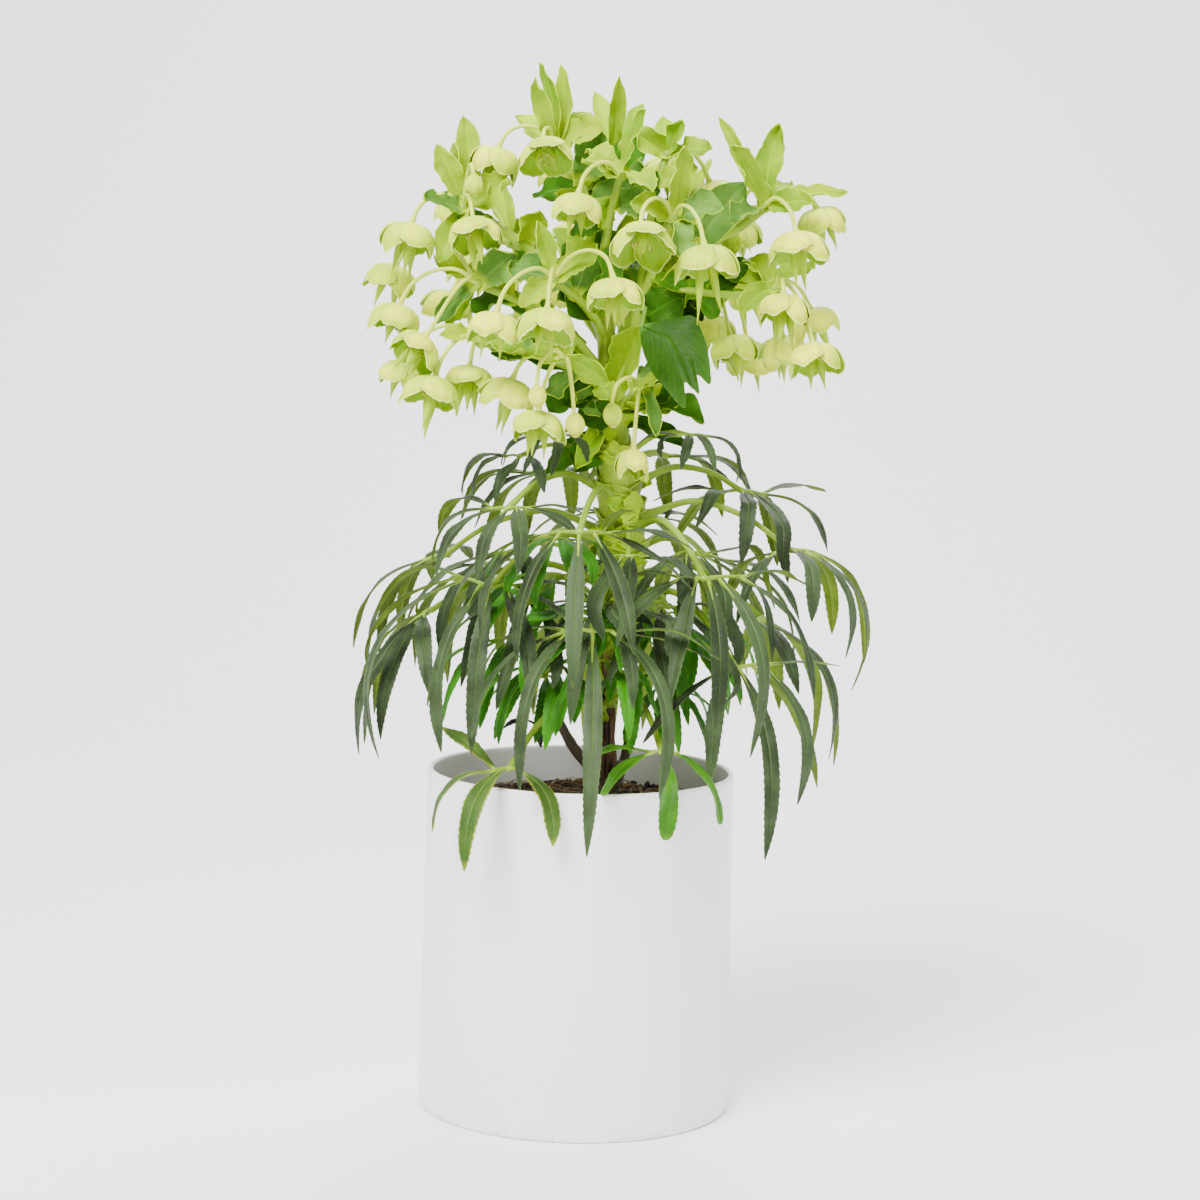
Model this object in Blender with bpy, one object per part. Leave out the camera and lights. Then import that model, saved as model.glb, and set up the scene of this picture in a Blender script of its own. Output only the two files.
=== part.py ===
"""Potted hellebore: a tall plain cylinder pot, its soil, a sheathed stem that forks into a head of
nodding bells, and pedate leaves whose narrow leaflets arch and hang. Lengths here are in millimetres
and become metres in the meshes. The origin is the centre of the pot's foot, +Z up, and the side seen
from the front faces -Y."""
import math
import random

import bpy
import bmesh
import numpy as np
from mathutils.bvhtree import BVHTree

MM = 0.001

# Pot and soil
POT_HEIGHT = 200.0
POT_RIM_RADIUS = 90.0
POT_FOOT_RADIUS = 92.3
POT_WALL = 3.2
POT_FLOOR = 5.0
POT_SIDES = 48
SOIL_TOP = 178.0
FIT_GAP = 0.3
SEAT_GAP = 0.4
SEAM_MERGES = (0.22, 0.1, 0.03, 0.0)

# Leaves
LEAFLET_WIDTH = 11.0
LEAFLET_THICKNESS = 1.5
LEAFLET_FOOT = 1.8
PETIOLE_RADIUS = 2.1
ARM_RADIUS = 1.9
CHAIN_STEPS = 12

# Flowers
BELL_RADIUS = 14.5
BELL_DEPTH = 15.5
PEDICEL_RADIUS = 1.25
BRACT_THICKNESS = 1.5

# Each sepal round the bell: degrees from its start, how far out and how far down it stands
SEPAL_EDGE = ((2, 1.07, 0.90), (35, 1.06, 1.05), (65, 0.93, 0.90))

# Trunk: height, x, y and radius of the axis at each level; the middle is swollen by leaf sheaths
TRUNK = [
    (140, 15, 0, 5.2), (182, 15, 0, 6.5), (205, 15, 0, 5.4), (240, 14, 0, 4.8), (271, 14, 0, 5.0),
    (286, 16, 0, 7.0), (296, 19, 0, 10.5), (307, 20, 0, 9.0), (314, 20, 0, 11.5), (325, 21, 0, 9.6),
    (332, 21, 0, 12.0), (343, 20, 0, 10.0), (350, 20, 0, 12.2), (361, 19, 0, 10.0), (368, 18, 0, 11.4),
    (379, 17, 0, 8.8), (386, 15, 0, 9.6), (398, 13, 0, 7.2), (417, 11, 0, 6.3), (446, 9, 0, 5.6),
    (472, 6, 0, 4.6),
]
TRUNK_SIDES = 9

# Main branches of the head: points from the trunk outward, and the radius at each end
BRANCHES = {
    "up": ([(7, 0, 455), (3, 3, 490), (-2, 0, 520), (-10, -3, 545)], 4.2, 2.6),
    "left": ([(6, 0, 462), (-14, -4, 484), (-38, -6, 503), (-60, -6, 518)], 3.8, 2.4),
    "left_low": ([(9, 0, 430), (-10, -12, 452), (-32, -20, 468), (-50, -22, 476)], 3.2, 2.2),
    "left_foot": ([(10, 0, 420), (-8, -14, 434), (-30, -26, 442), (-48, -32, 446)], 2.8, 2.0),
    "front": ([(7, 0, 452), (0, -18, 466), (-9, -32, 476), (-16, -42, 481)], 3.2, 2.2),
    "front_up": ([(4, 0, 486), (6, -14, 505), (9, -24, 524), (12, -30, 538)], 3.0, 2.2),
    "front_low": ([(10, 0, 416), (4, -20, 426), (-4, -34, 433), (-9, -46, 437)], 2.6, 1.9),
    "right": ([(11, 0, 405), (20, -4, 440), (29, -7, 476), (47, -7, 497), (82, -4, 518)], 5.0, 2.6),
    "right_front": ([(31, -7, 482), (36, -18, 500), (40, -30, 514)], 3.0, 2.2),
    "right_top": ([(27, -6, 470), (30, -2, 505), (34, 2, 535), (37, 5, 548)], 3.2, 2.2),
    "right_low": ([(28, -7, 474), (50, -8, 481), (74, -11, 480), (92, -13, 481)], 3.2, 2.2),
    "right_back": ([(26, -6, 468), (40, 6, 478), (56, 12, 482)], 2.8, 2.0),
    "foot": ([(12, 0, 402), (17, -12, 412), (22, -20, 420)], 2.4, 1.8),
    "back": ([(8, 0, 446), (6, 22, 468), (3, 40, 482), (0, 54, 490)], 3.6, 2.4),
    "back_right": ([(10, 0, 440), (24, 20, 468), (36, 36, 490), (44, 44, 500)], 3.4, 2.2),
    "back_left": ([(8, 0, 450), (-14, 20, 478), (-34, 36, 495), (-42, 44, 500)], 3.4, 2.2),
    "top_back": ([(3, 1, 500), (6, 10, 525), (8, 18, 545)], 2.8, 2.2),
}

# Sprays: the branch they grow from, their node, and what the node bears
# flower: bell centre x y z, the azimuth its mouth tips to, the tip from straight down, width over 29 mm
# bud: x y z of its middle;  bract: base x y z, tip x y z, width
SPRAYS = {
    "top_left": dict(
        on="up", node=(-24, -6, 563),
        flowers=[(-58, -10, 553, 190, 12, 1.0), (-29, -34, 556, -70, 55, 0.95), (-21, 30, 547, 100, 20, 0.9)],
        bracts=[((-24, -8, 566), (-33, -10, 609), 9), ((-20, -2, 566), (-22, 0, 609), 10),
                ((-28, -12, 562), (-36, -26, 599), 11), ((-18, -4, 562), (3, -22, 575), 15),
                ((-26, 2, 560), (-48, 18, 580), 13), ((-20, 4, 562), (-4, 20, 584), 14)],
    ),
    "front_top": dict(
        on="front_up", node=(14, -34, 545),
        flowers=[(-10, -62, 526, -110, 10, 0.95)],
        bracts=[((15, -35, 547), (27, -44, 582), 12), ((11, -33, 546), (-6, -26, 560), 14),
                ((16, -34, 544), (32, -62, 536), 14), ((10, -34, 544), (-8, -46, 552), 12)],
    ),
    "left": dict(
        on="left", node=(-76, -6, 526),
        flowers=[(-106, -22, 508, -160, 10, 1.05), (-68, -36, 511, -70, 22, 1.0)],
        buds=[(-69, -28, 538, 0.9)],
        bracts=[((-78, -6, 527), (-92, -12, 561), 14), ((-76, -2, 528), (-82, 14, 564), 17),
                ((-72, -2, 530), (-78, 8, 579), 14), ((-76, -12, 522), (-98, -22, 531), 13),
                ((-68, -8, 526), (-48, -24, 540), 16), ((-78, -14, 518), (-88, -26, 494), 13)],
    ),
    "left_mid": dict(
        on="left_low", node=(-66, -24, 482),
        flowers=[(-118, 14, 485, 165, 16, 0.95), (-112, -27, 462, -160, 14, 1.0), (-98, -52, 445, -140, 40, 0.95)],
        bracts=[((-68, -24, 482), (-84, -20, 458), 8), ((-68, -28, 480), (-90, -34, 459), 9),
                ((-62, -26, 484), (-44, -40, 500), 17), ((-70, -18, 482), (-92, -4, 498), 12)],
    ),
    "left_foot": dict(
        on="left_foot", node=(-63, -34, 449),
        flowers=[(-108, -12, 430, 170, 12, 0.9), (-89, -54, 422, -130, 15, 1.0), (-70, -24, 428, -100, 14, 0.95)],
        bracts=[((-60, -36, 450), (-86, -46, 453), 9), ((-60, -30, 448), (-52, -6, 440), 14),
                ((-58, -36, 450), (-38, -52, 446), 12)],
    ),
    "front_left": dict(
        on="front", node=(-22, -50, 486),
        flowers=[(-54, -76, 459, -130, 10, 1.0), (-25, -88, 461, -100, 16, 1.05), (12, -92, 479, -75, 14, 1.0)],
        bracts=[((-24, -50, 487), (-32, -58, 518), 11), ((-18, -50, 487), (2, -56, 506), 19),
                ((-26, -48, 484), (-48, -44, 492), 18), ((-24, -52, 484), (-40, -62, 470), 12)],
    ),
    "front_low": dict(
        on="front_low", node=(-15, -54, 441),
        flowers=[(-46, -45, 422, 160, 14, 0.95), (-29, -68, 405, -110, 12, 0.95)],
        buds=[(-29, -82, 421, 0.9), (-8, -64, 405, 1.0)],
        bracts=[((-16, -54, 442), (-38, -62, 443), 11), ((-14, -54, 443), (-14, -62, 462), 11),
                ((-12, -52, 441), (10, -56, 428), 11), ((-16, -52, 440), (-30, -40, 452), 9)],
    ),
    "right_front": dict(
        on="right_front", node=(44, -40, 522),
        flowers=[(26, -86, 508, -80, 50, 1.05), (62, -78, 498, -50, 10, 1.1)],
        bracts=[((45, -40, 524), (49, -54, 562), 15), ((48, -38, 522), (72, -46, 528), 17),
                ((40, -40, 522), (20, -48, 530), 15), ((46, -44, 520), (48, -60, 500), 14)],
    ),
    "right": dict(
        on="right", node=(97, -10, 530),
        flowers=[(115, -37, 508, -60, 12, 1.05), (130, 2, 524, 20, 18, 0.95), (84, 34, 518, 110, 16, 0.95)],
        bracts=[((99, -10, 532), (104, -12, 578), 16), ((96, -12, 532), (76, -32, 564), 14),
                ((94, -6, 532), (70, 8, 582), 9), ((102, -8, 531), (145, -4, 540), 9),
                ((92, -16, 528), (78, -34, 520), 14), ((100, -4, 530), (112, 22, 546), 14),
                ((100, -14, 530), (124, -26, 534), 12)],
    ),
    "right_top": dict(
        on="right_top", node=(41, 7, 560),
        flowers=[(40, 34, 552, 80, 24, 0.9), (68, 18, 538, 30, 18, 0.95)],
        bracts=[((42, 6, 561), (49, -2, 579), 10), ((40, 8, 561), (38, 16, 582), 13),
                ((44, 6, 559), (66, -8, 563), 13), ((38, 5, 559), (20, -4, 572), 12)],
    ),
    "right_low": dict(
        on="right_low", node=(105, -14, 484),
        flowers=[(108, -40, 473, -90, 12, 1.0), (128, -6, 466, 10, 18, 0.95), (126, -46, 446, -60, 16, 1.0),
                 (112, 12, 449, 60, 16, 0.95)],
        bracts=[((104, -12, 486), (128, -4, 497), 13), ((102, -12, 486), (90, 4, 502), 14),
                ((100, -16, 484), (84, -32, 470), 12)],
    ),
    "right_back": dict(
        on="right_back", node=(70, 16, 484),
        flowers=[(70, 42, 460, 110, 16, 1.0), (93, 46, 444, 70, 16, 1.0), (82, 2, 449, -30, 16, 0.95)],
        bracts=[((70, 16, 486), (62, 36, 500), 14), ((72, 14, 486), (92, 14, 498), 14)],
    ),
    "foot": dict(
        on="foot", node=(29, -25, 426),
        flowers=[(25, -42, 383, -100, 10, 1.0)],
        buds=[(13, -42, 410, 1.0)],
        bracts=[((30, -26, 427), (49, -42, 434), 9), ((28, -26, 427), (24, -50, 424), 8),
                ((34, -30, 424), (38, -46, 399), 7), ((30, -22, 428), (44, -4, 440), 12)],
    ),
    "back": dict(
        on="back", node=(-1, 64, 496),
        flowers=[(-26, 92, 480, 120, 14, 1.0), (12, 102, 468, 85, 16, 1.0), (34, 86, 500, 60, 14, 0.95),
                 (-12, 94, 514, 110, 22, 0.9)],
        bracts=[((0, 64, 498), (6, 74, 536), 14), ((-4, 64, 497), (-26, 70, 516), 14),
                ((2, 66, 496), (16, 92, 510), 13)],
    ),
    "back_right": dict(
        on="back_right", node=(53, 52, 508),
        flowers=[(66, 84, 490, 60, 14, 1.0), (92, 72, 484, 30, 16, 1.0), (84, 78, 522, 40, 22, 0.9)],
        bracts=[((54, 52, 510), (68, 62, 560), 14), ((56, 54, 508), (66, 82, 524), 14)],
    ),
    "back_left": dict(
        on="back_left", node=(-50, 52, 507),
        flowers=[(-72, 72, 492, 140, 14, 1.0), (-86, 46, 470, 170, 16, 1.0), (-60, 20, 492, 180, 12, 0.9),
                 (-48, 88, 456, 110, 16, 1.0), (-84, 66, 524, 150, 22, 0.9)],
        bracts=[((-52, 52, 509), (-62, 66, 556), 14), ((-54, 50, 507), (-84, 52, 520), 14),
                ((-48, 54, 506), (-40, 80, 512), 13)],
    ),
    "top_back": dict(
        on="top_back", node=(9, 24, 556),
        flowers=[(4, 50, 548, 100, 20, 0.95)],
        bracts=[((10, 24, 558), (12, 10, 604), 10), ((8, 24, 558), (-2, 34, 596), 13),
                ((12, 24, 556), (26, 30, 590), 12)],
    ),
}

# Leaves: height and azimuth of the root on the stem, hub, ends of the two side arms, colour group,
# and leaflets: place on the arms from -1 to 1, azimuth, length, slope at the base and at the tip
LEAVES = {
    "front_high": dict(root=(362, -112), hub=(-4, -76, 346), arms=((-22, -68, 344), (12, -68, 345)), leaflets=[
        (0, -92, 92, -48, -86), (-0.6, -130, 82, -22, -112), (-1, -158, 78, 0, -108), (-1, 172, 80, 14, -98),
        (0.5, -62, 82, -30, -72), (1, -32, 66, -4, -48), (1, 8, 52, 24, -42), (0.8, -66, 46, 48, -6)]),
    "front_low": dict(root=(318, -104), hub=(5, -78, 291), arms=((-10, -72, 290), (20, -72, 290)), leaflets=[
        (0, -90, 136, -32, -90), (-0.8, -122, 112, 6, -118), (-1, -156, 88, 6, -94), (0.7, -56, 116, 8, -118),
        (1, -22, 66, 22, -44), (1, 6, 60, 4, -38), (-1, 166, 64, 34, -84)]),
    "right_front": dict(root=(346, -48), hub=(67, -58, 320), arms=((54, -56, 320), (90, -50, 321)), leaflets=[
        (0.1, -78, 96, -24, -118), (-0.3, -108, 78, -34, -76), (-0.8, -142, 66, -4, -72), (-1, 176, 56, 38, -78),
        (-1, -166, 52, -18, -46), (0.35, -58, 118, -6, -124), (0.9, -32, 88, -6, -96), (1, 18, 46, 36, -52)]),
    "left_front": dict(root=(336, -150), hub=(-54, -48, 311), arms=((-72, -42, 316), (-40, -44, 312)), leaflets=[
        (0, -104, 102, -28, -112), (-0.3, -128, 108, -18, -120), (-0.8, -164, 132, 4, -124),
        (-1, 172, 88, 4, -94), (-1, 150, 74, 40, -82), (1, -12, 52, 26, -44), (1, -42, 64, -14, -36),
        (0.6, -72, 92, -20, -72)]),
    "left_high": dict(root=(368, -160), hub=(-45, -46, 356), arms=((-54, -40, 355), (-34, -42, 356)), leaflets=[
        (-1, 178, 52, 24, -98), (-1, 136, 56, 50, -80), (-0.5, -152, 60, 8, -92), (0, -118, 56, -8, -90),
        (1, -18, 46, 30, -44), (0.9, -46, 44, 6, -30), (0.4, -82, 62, 4, -80)]),
    "right_low": dict(root=(304, -22), hub=(87, -46, 268), arms=((78, -46, 266), (106, -40, 270)), leaflets=[
        (1, 2, 42, 14, -14), (0.1, -70, 124, -10, -116), (0.8, -34, 92, -12, -124), (-0.5, -108, 74, -22, -104),
        (0.5, 32, 92, -26, -86), (-1, -148, 66, -14, -62)]),
    "right_far": dict(root=(352, -14), hub=(118, -20, 334), arms=((110, -14, 332), (132, -14, 333)), leaflets=[
        (0, -70, 60, 24, -112), (0.6, -34, 76, 0, -120), (1, -2, 95, -10, -128), (0.5, 58, 72, 0, -100),
        (1, 38, 90, 4, -112), (-1, -128, 58, 2, -90), (-1, 128, 66, 10, -96)]),
    "right_high": dict(root=(372, 14), hub=(90, 8, 366), arms=((80, 10, 365), (102, 14, 364)), leaflets=[
        (1, -8, 58, 20, -92), (-0.5, -124, 52, 4, -64), (0.3, -56, 76, 4, -106), (0, -88, 64, 12, -104),
        (1, 34, 50, 30, -28), (-1, -164, 46, 26, -40), (0.8, 70, 72, 10, -96), (-1, 120, 66, 16, -92)]),
    "right_back_high": dict(root=(380, 50), hub=(46, 30, 384), arms=((36, 34, 384), (56, 30, 384)), leaflets=[
        (0, -30, 50, 20, -66), (0.8, -4, 58, 24, -72), (1, 26, 64, 28, -84), (1, 58, 70, 22, -92),
        (-1, 116, 66, 22, -92), (-1, 150, 54, 26, -70), (-0.4, 88, 74, 12, -96)]),
    "left_back_high": dict(root=(378, 140), hub=(-26, 32, 372), arms=((-36, 28, 372), (-16, 38, 372)), leaflets=[
        (-1, -178, 58, 30, -96), (-1, 152, 62, 34, -92), (-0.5, -150, 56, 10, -84), (0, 140, 72, 12, -96),
        (1, 84, 60, 26, -84), (0.6, 112, 68, 12, -94), (1, 58, 52, 30, -66)]),
    "left_back": dict(root=(342, 168), hub=(-85, 20, 322), arms=((-92, 14, 321), (-82, 30, 321)), leaflets=[
        (-1, 176, 78, 4, -100), (-1, -154, 76, -4, -104), (0.8, 104, 62, 30, -72), (0.2, 152, 84, 0, -104),
        (1, 76, 52, 36, -48), (0.6, 128, 80, 10, -100)]),
    "left_low": dict(root=(312, -168), hub=(-90, -4, 292), arms=((-94, -14, 291), (-90, 8, 292)), leaflets=[
        (-0.6, -118, 92, -6, -98), (0.4, 176, 74, -4, -100), (-1, -146, 100, -2, -116), (1, 144, 88, -4, -106),
        (0, -160, 92, -20, -104), (-1, -82, 66, 6, -84)]),
    "right_back_low": dict(root=(316, 22), hub=(104, 20, 290), arms=((102, 10, 289), (108, 32, 288)), leaflets=[
        (-0.6, -16, 104, 2, -116), (0.2, 14, 112, -6, -112), (-1, -62, 62, 6, -84), (0.6, 40, 104, -4, -114),
        (1, 74, 84, 4, -104), (1, 106, 66, 12, -86)]),
    "rim_left": dict(root=(238, -128), hub=(-40, -74, 211), arms=((-48, -75, 210), (-33, -76, 210)), width=12.5,
                     leaflets=[
        (-0.4, -116, 76, 12, -104), (1, -58, 56, 6, -92), (-1, -160, 56, 20, -98), (-1, 146, 44, 34, 22)]),
    "rim_right": dict(root=(246, -62), hub=(46, -70, 222), arms=((40, -70, 222), (53, -69, 222)), width=11.0,
                      leaflets=[
        (0, -86, 62, 2, -96), (1, -36, 56, 14, -104), (-0.8, -140, 44, -2, -58), (-1, 174, 38, 22, -34)]),
    "young_left": dict(root=(296, -152), hub=(-16, -24, 316), arms=((-22, -22, 316), (-9, -26, 316)), width=9.0,
                       leaflets=[
        (-1, 176, 62, 26, -92), (-0.6, -150, 78, 4, -100), (0, -112, 84, -10, -94), (0.6, -74, 70, -4, -92),
        (1, 100, 46, 50, 10)]),
    "young_right": dict(root=(282, -34), hub=(44, -20, 292), arms=((37, -22, 292), (51, -16, 292)), width=9.0,
                        leaflets=[
        (-1, -128, 62, -8, -94), (0, -64, 72, -10, -98), (0.6, -28, 74, 6, -104), (1, 12, 60, 18, -92)]),
    "back_low": dict(root=(306, 96), hub=(10, 84, 292), arms=((-2, 84, 291), (22, 82, 291)), leaflets=[
        (-0.2, 98, 118, -4, -112), (-0.8, 130, 104, 4, -112), (0.6, 66, 112, 0, -114), (1, 36, 84, 14, -100),
        (-1, 162, 76, 18, -92), (0.2, 82, 108, -16, -96)]),
    "back_high": dict(root=(356, 84), hub=(24, 84, 346), arms=((12, 86, 345), (36, 80, 345)), leaflets=[
        (0, 84, 100, 0, -104), (-0.6, 116, 96, 8, -106), (0.6, 52, 96, 8, -106), (1, 22, 76, 20, -92),
        (-1, 150, 72, 22, -92), (-1, -174, 52, 30, -60), (1, -14, 50, 30, -56)]),
    "back_left": dict(root=(326, 132), hub=(-52, 66, 316), arms=((-60, 58, 315), (-42, 74, 315)), leaflets=[
        (0, 130, 106, -2, -108), (-0.7, 160, 92, 6, -106), (0.7, 100, 96, 6, -108), (1, 70, 76, 16, -94),
        (-1, -168, 68, 16, -86)]),
    "back_right": dict(root=(330, 48), hub=(72, 64, 322), arms=((62, 72, 321), (82, 54, 321)), leaflets=[
        (0, 44, 108, -2, -108), (-0.7, 76, 96, 6, -108), (0.7, 14, 96, 4, -108), (1, -14, 66, 16, -84),
        (-1, 108, 76, 16, -94)]),
}

# Colours: base colour, roughness
WHITE_GLAZE = ((0.86, 0.86, 0.85), 0.35)
SOIL_BROWN = ((0.07, 0.045, 0.03), 0.95)
STEM_GREEN = ((0.42, 0.56, 0.16), 0.6)
LEAF_GREEN = ((0.07, 0.13, 0.055), 0.55)
YOUNG_GREEN = ((0.16, 0.36, 0.04), 0.5)
BELL_GREEN = ((0.62, 0.75, 0.28), 0.55)
DARK_BRACT = ((0.06, 0.17, 0.035), 0.5)


def vec(*values):
    return np.array(values, dtype=float)


def unit(v):
    return v / max(np.linalg.norm(v), 1e-9)


def heading(azimuth):
    a = math.radians(azimuth)
    return vec(math.cos(a), math.sin(a), 0.0)


def bezier(p0, p1, p2, p3, steps):
    t = np.linspace(0.0, 1.0, steps + 1)[:, None]
    return ((1 - t) ** 3 * p0 + 3 * (1 - t) ** 2 * t * p1 + 3 * (1 - t) * t ** 2 * p2 + t ** 3 * p3)


def along(points, s):
    """Point at a share s of the length of a polyline."""
    points = np.asarray(points, dtype=float)
    steps = np.linalg.norm(np.diff(points, axis=0), axis=1)
    reach = np.concatenate([[0.0], np.cumsum(steps)])
    return np.array([np.interp(s * reach[-1], reach, points[:, i]) for i in range(3)])


def resample(points, count):
    return np.array([along(points, i / (count - 1)) for i in range(count)])


def smooth_path(points, per_span=2):
    """Catmull-Rom curve through a few points."""
    p = np.asarray(points, dtype=float)
    p = np.vstack([2 * p[0] - p[1], p, 2 * p[-1] - p[-2]])
    out = []
    for i in range(1, len(p) - 2):
        for k in range(per_span):
            t = k / per_span
            out.append(0.5 * (2 * p[i] + (p[i + 1] - p[i - 1]) * t
                              + (2 * p[i - 1] - 5 * p[i] + 4 * p[i + 1] - p[i + 2]) * t * t
                              + (3 * p[i] - p[i - 1] - 3 * p[i + 1] + p[i + 2]) * t ** 3))
    out.append(p[-2])
    return np.array(out)


def rings_to_mesh(rings, start=None, end=None):
    """Closed skin over rings of equal count; start and end are points or None for flat caps."""
    verts = [tuple(p) for ring in rings for p in ring]
    n = len(rings[0])
    faces = []
    for r in range(len(rings) - 1):
        a, b = r * n, (r + 1) * n
        for i in range(n):
            j = (i + 1) % n
            faces.append((a + i, a + j, b + j))
            faces.append((a + i, b + j, b + i))
    last = (len(rings) - 1) * n
    if start is None:
        faces.append(tuple(reversed(range(n))))
    else:
        verts.append(tuple(start))
        k = len(verts) - 1
        faces += [(k, (i + 1) % n, i) for i in range(n)]
    if end is None:
        faces.append(tuple(range(last, last + n)))
    else:
        verts.append(tuple(end))
        k = len(verts) - 1
        faces += [(k, last + i, last + (i + 1) % n) for i in range(n)]
    return verts, faces


def frames(points, side):
    """Tangent, side and top direction at each point, the side carried along from the first."""
    points = np.asarray(points, dtype=float)
    out = []
    for i in range(len(points)):
        tangent = unit(points[min(i + 1, len(points) - 1)] - points[max(i - 1, 0)])
        side = unit(side - np.dot(side, tangent) * tangent)
        out.append((tangent, side, np.cross(side, tangent)))
    return out


def tube(points, radii, sides=5):
    points = np.asarray(points, dtype=float)
    first = unit(points[1] - points[0])
    side = np.cross(first, vec(0, 0, 1))
    if np.linalg.norm(side) < 0.2:
        side = vec(1, 0, 0)
    rings = []
    for i, (tangent, across, top) in enumerate(frames(points, side)):
        r = radii[i] if hasattr(radii, "__len__") else radii
        ring = []
        for k in range(sides):
            a = 2 * math.pi * (k + 0.5) / sides
            ring.append(points[i] + r * (math.cos(a) * across + math.sin(a) * top))
        rings.append(ring)
    return rings_to_mesh(rings)


def blade(path, side, width, thickness, stations, shape):
    """Thin leaf with a pointed tip; each ring is its left edge, right edge and the rib underneath."""
    path = np.asarray(path, dtype=float)
    centres = np.array([path[0]] + [along(path, t) for t in stations] + [path[-1]])
    rings = []
    foot = LEAFLET_FOOT / width
    for (tangent, across, top), centre, w in zip(frames(centres, side)[:-1], centres[:-1], (foot, *shape)):
        half = 0.5 * width * w
        rings.append([
            centre - across * half + top * thickness * 0.35,
            centre - top * thickness * 0.65,
            centre + across * half + top * thickness * 0.35,
        ])
    return rings_to_mesh(rings, end=centres[-1])


def bridge(verts, ring_a, ring_b, centre, axis):
    """Triangles between two rings of unlike counts around one axis."""
    u = unit(np.cross(axis, vec(0.31, 0.95, 0.05)))
    v = np.cross(axis, u)

    def angle(i):
        d = np.array(verts[i]) - centre
        return math.atan2(np.dot(d, v), np.dot(d, u)) % (2 * math.pi)

    a = sorted(ring_a, key=angle)
    b = sorted(ring_b, key=angle)
    faces = []
    i = j = 0
    while i < len(a) or j < len(b):
        next_a = angle(a[(i + 1) % len(a)]) + (2 * math.pi if i + 1 >= len(a) else 0.0)
        next_b = angle(b[(j + 1) % len(b)]) + (2 * math.pi if j + 1 >= len(b) else 0.0)
        if j >= len(b) or (i < len(a) and next_a < next_b):
            faces.append((a[i % len(a)], a[(i + 1) % len(a)], b[j % len(b)]))
            i += 1
        else:
            faces.append((b[j % len(b)], a[i % len(a)], b[(j + 1) % len(b)]))
            j += 1
    return faces


def ring_of(verts, points):
    first = len(verts)
    verts.extend(tuple(p) for p in points)
    return list(range(first, len(verts)))


def stalk(path, radius, verts, faces):
    """Three-sided stalk with a flat foot; gives back its last ring."""
    side = np.cross(unit(path[-1] - path[0]), vec(0, 0, 1))
    side = side if np.linalg.norm(side) > 0.2 else vec(1, 0, 0)
    last = None
    for point, (tangent, across, top) in zip(path, frames(path, side)):
        ring = ring_of(verts, [point + radius * (math.cos(a) * across + math.sin(a) * top)
                               for a in (0.5, 0.5 + 2.0944, 0.5 + 4.1888)])
        if last is None:
            faces.append(tuple(reversed(ring)))
        else:
            for k in range(3):
                m = (k + 1) % 3
                faces += [(last[k], last[m], ring[m]), (last[k], ring[m], ring[k])]
        last = ring
    return last


def flower(path, top, axis, radius, depth, turn, fine):
    """Stalk and nodding bell in one skin: five overlapping sepals round two long carpels.

    Each sepal starts outside its neighbour and ends under it."""
    u = unit(np.cross(axis, vec(0.31, 0.95, 0.05)))
    v = np.cross(axis, u)
    verts, faces = [], []
    neck = stalk(path, PEDICEL_RADIUS, verts, faces)
    shoulder, mouth = [], []
    for k in range(5):
        for degrees, out, reach in SEPAL_EDGE if fine else SEPAL_EDGE[1:]:
            a = math.radians(k * 72 + degrees + turn)
            spoke = math.cos(a) * u + math.sin(a) * v
            shoulder.append(top + axis * depth * 0.34 + spoke * radius * 0.88 * out)
            mouth.append(top + axis * depth * reach + spoke * radius * (0.98 if out > 1 else 0.92) * out)
    shoulder, mouth = ring_of(verts, shoulder), ring_of(verts, mouth)
    faces += bridge(verts, neck, shoulder, top, axis)
    for k in range(len(mouth)):
        m = (k + 1) % len(mouth)
        faces += [(shoulder[k], shoulder[m], mouth[m]), (shoulder[k], mouth[m], mouth[k])]
    c, d = math.cos(math.radians(turn)), math.sin(math.radians(turn))
    x, y = c * u + d * v, c * v - d * u
    seat = top + axis * depth * 0.42
    ovary = ring_of(verts, [seat + 2.6 * x + 1.2 * y, seat - 2.6 * x + 1.2 * y,
                            seat - 2.6 * x - 1.2 * y, seat + 2.6 * x - 1.2 * y])
    faces += bridge(verts, mouth, ovary, seat, axis)
    p, q, r, s = ovary
    cleft, left, right = ring_of(verts, [seat + axis * depth * 0.25, seat + axis * depth * 1.12 - 4.2 * x,
                                         seat + axis * depth * 1.0 + 4.2 * x])
    faces += [(q, r, left), (r, cleft, left), (cleft, q, left), (s, p, right), (p, cleft, right),
              (cleft, s, right), (r, s, cleft), (p, q, cleft)]
    return verts, faces


def bud(path, top, axis, width, length):
    u = unit(np.cross(axis, vec(0.31, 0.95, 0.05)))
    v = np.cross(axis, u)
    verts, faces = [], []
    last = stalk(path, PEDICEL_RADIUS * 0.9, verts, faces)
    for reach, w in ((0.22, 0.74), (0.6, 1.0), (0.88, 0.55)):
        ring = ring_of(verts, [top + axis * length * reach + (math.cos(a) * u + math.sin(a) * v) * width * 0.5 * w
                               for a in (2 * math.pi * k / 6 for k in range(6))])
        faces += bridge(verts, last, ring, top, axis)
        last = ring
    tip = ring_of(verts, [top + axis * length])[0]
    faces += [(tip, last[k], last[(k + 1) % 6]) for k in range(6)]
    return verts, faces


def knob(centre, radius):
    """Swollen node where stalks and bracts leave together: an eight-faced bead."""
    verts = [tuple(centre + radius * vec(*d)) for d in
             ((1, 0, 0), (-1, 0, 0), (0, 1, 0), (0, -1, 0), (0, 0, 1), (0, 0, -1))]
    faces = [(0, 2, 4), (2, 1, 4), (1, 3, 4), (3, 0, 4), (2, 0, 5), (1, 2, 5), (3, 1, 5), (0, 3, 5)]
    return verts, faces


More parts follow.
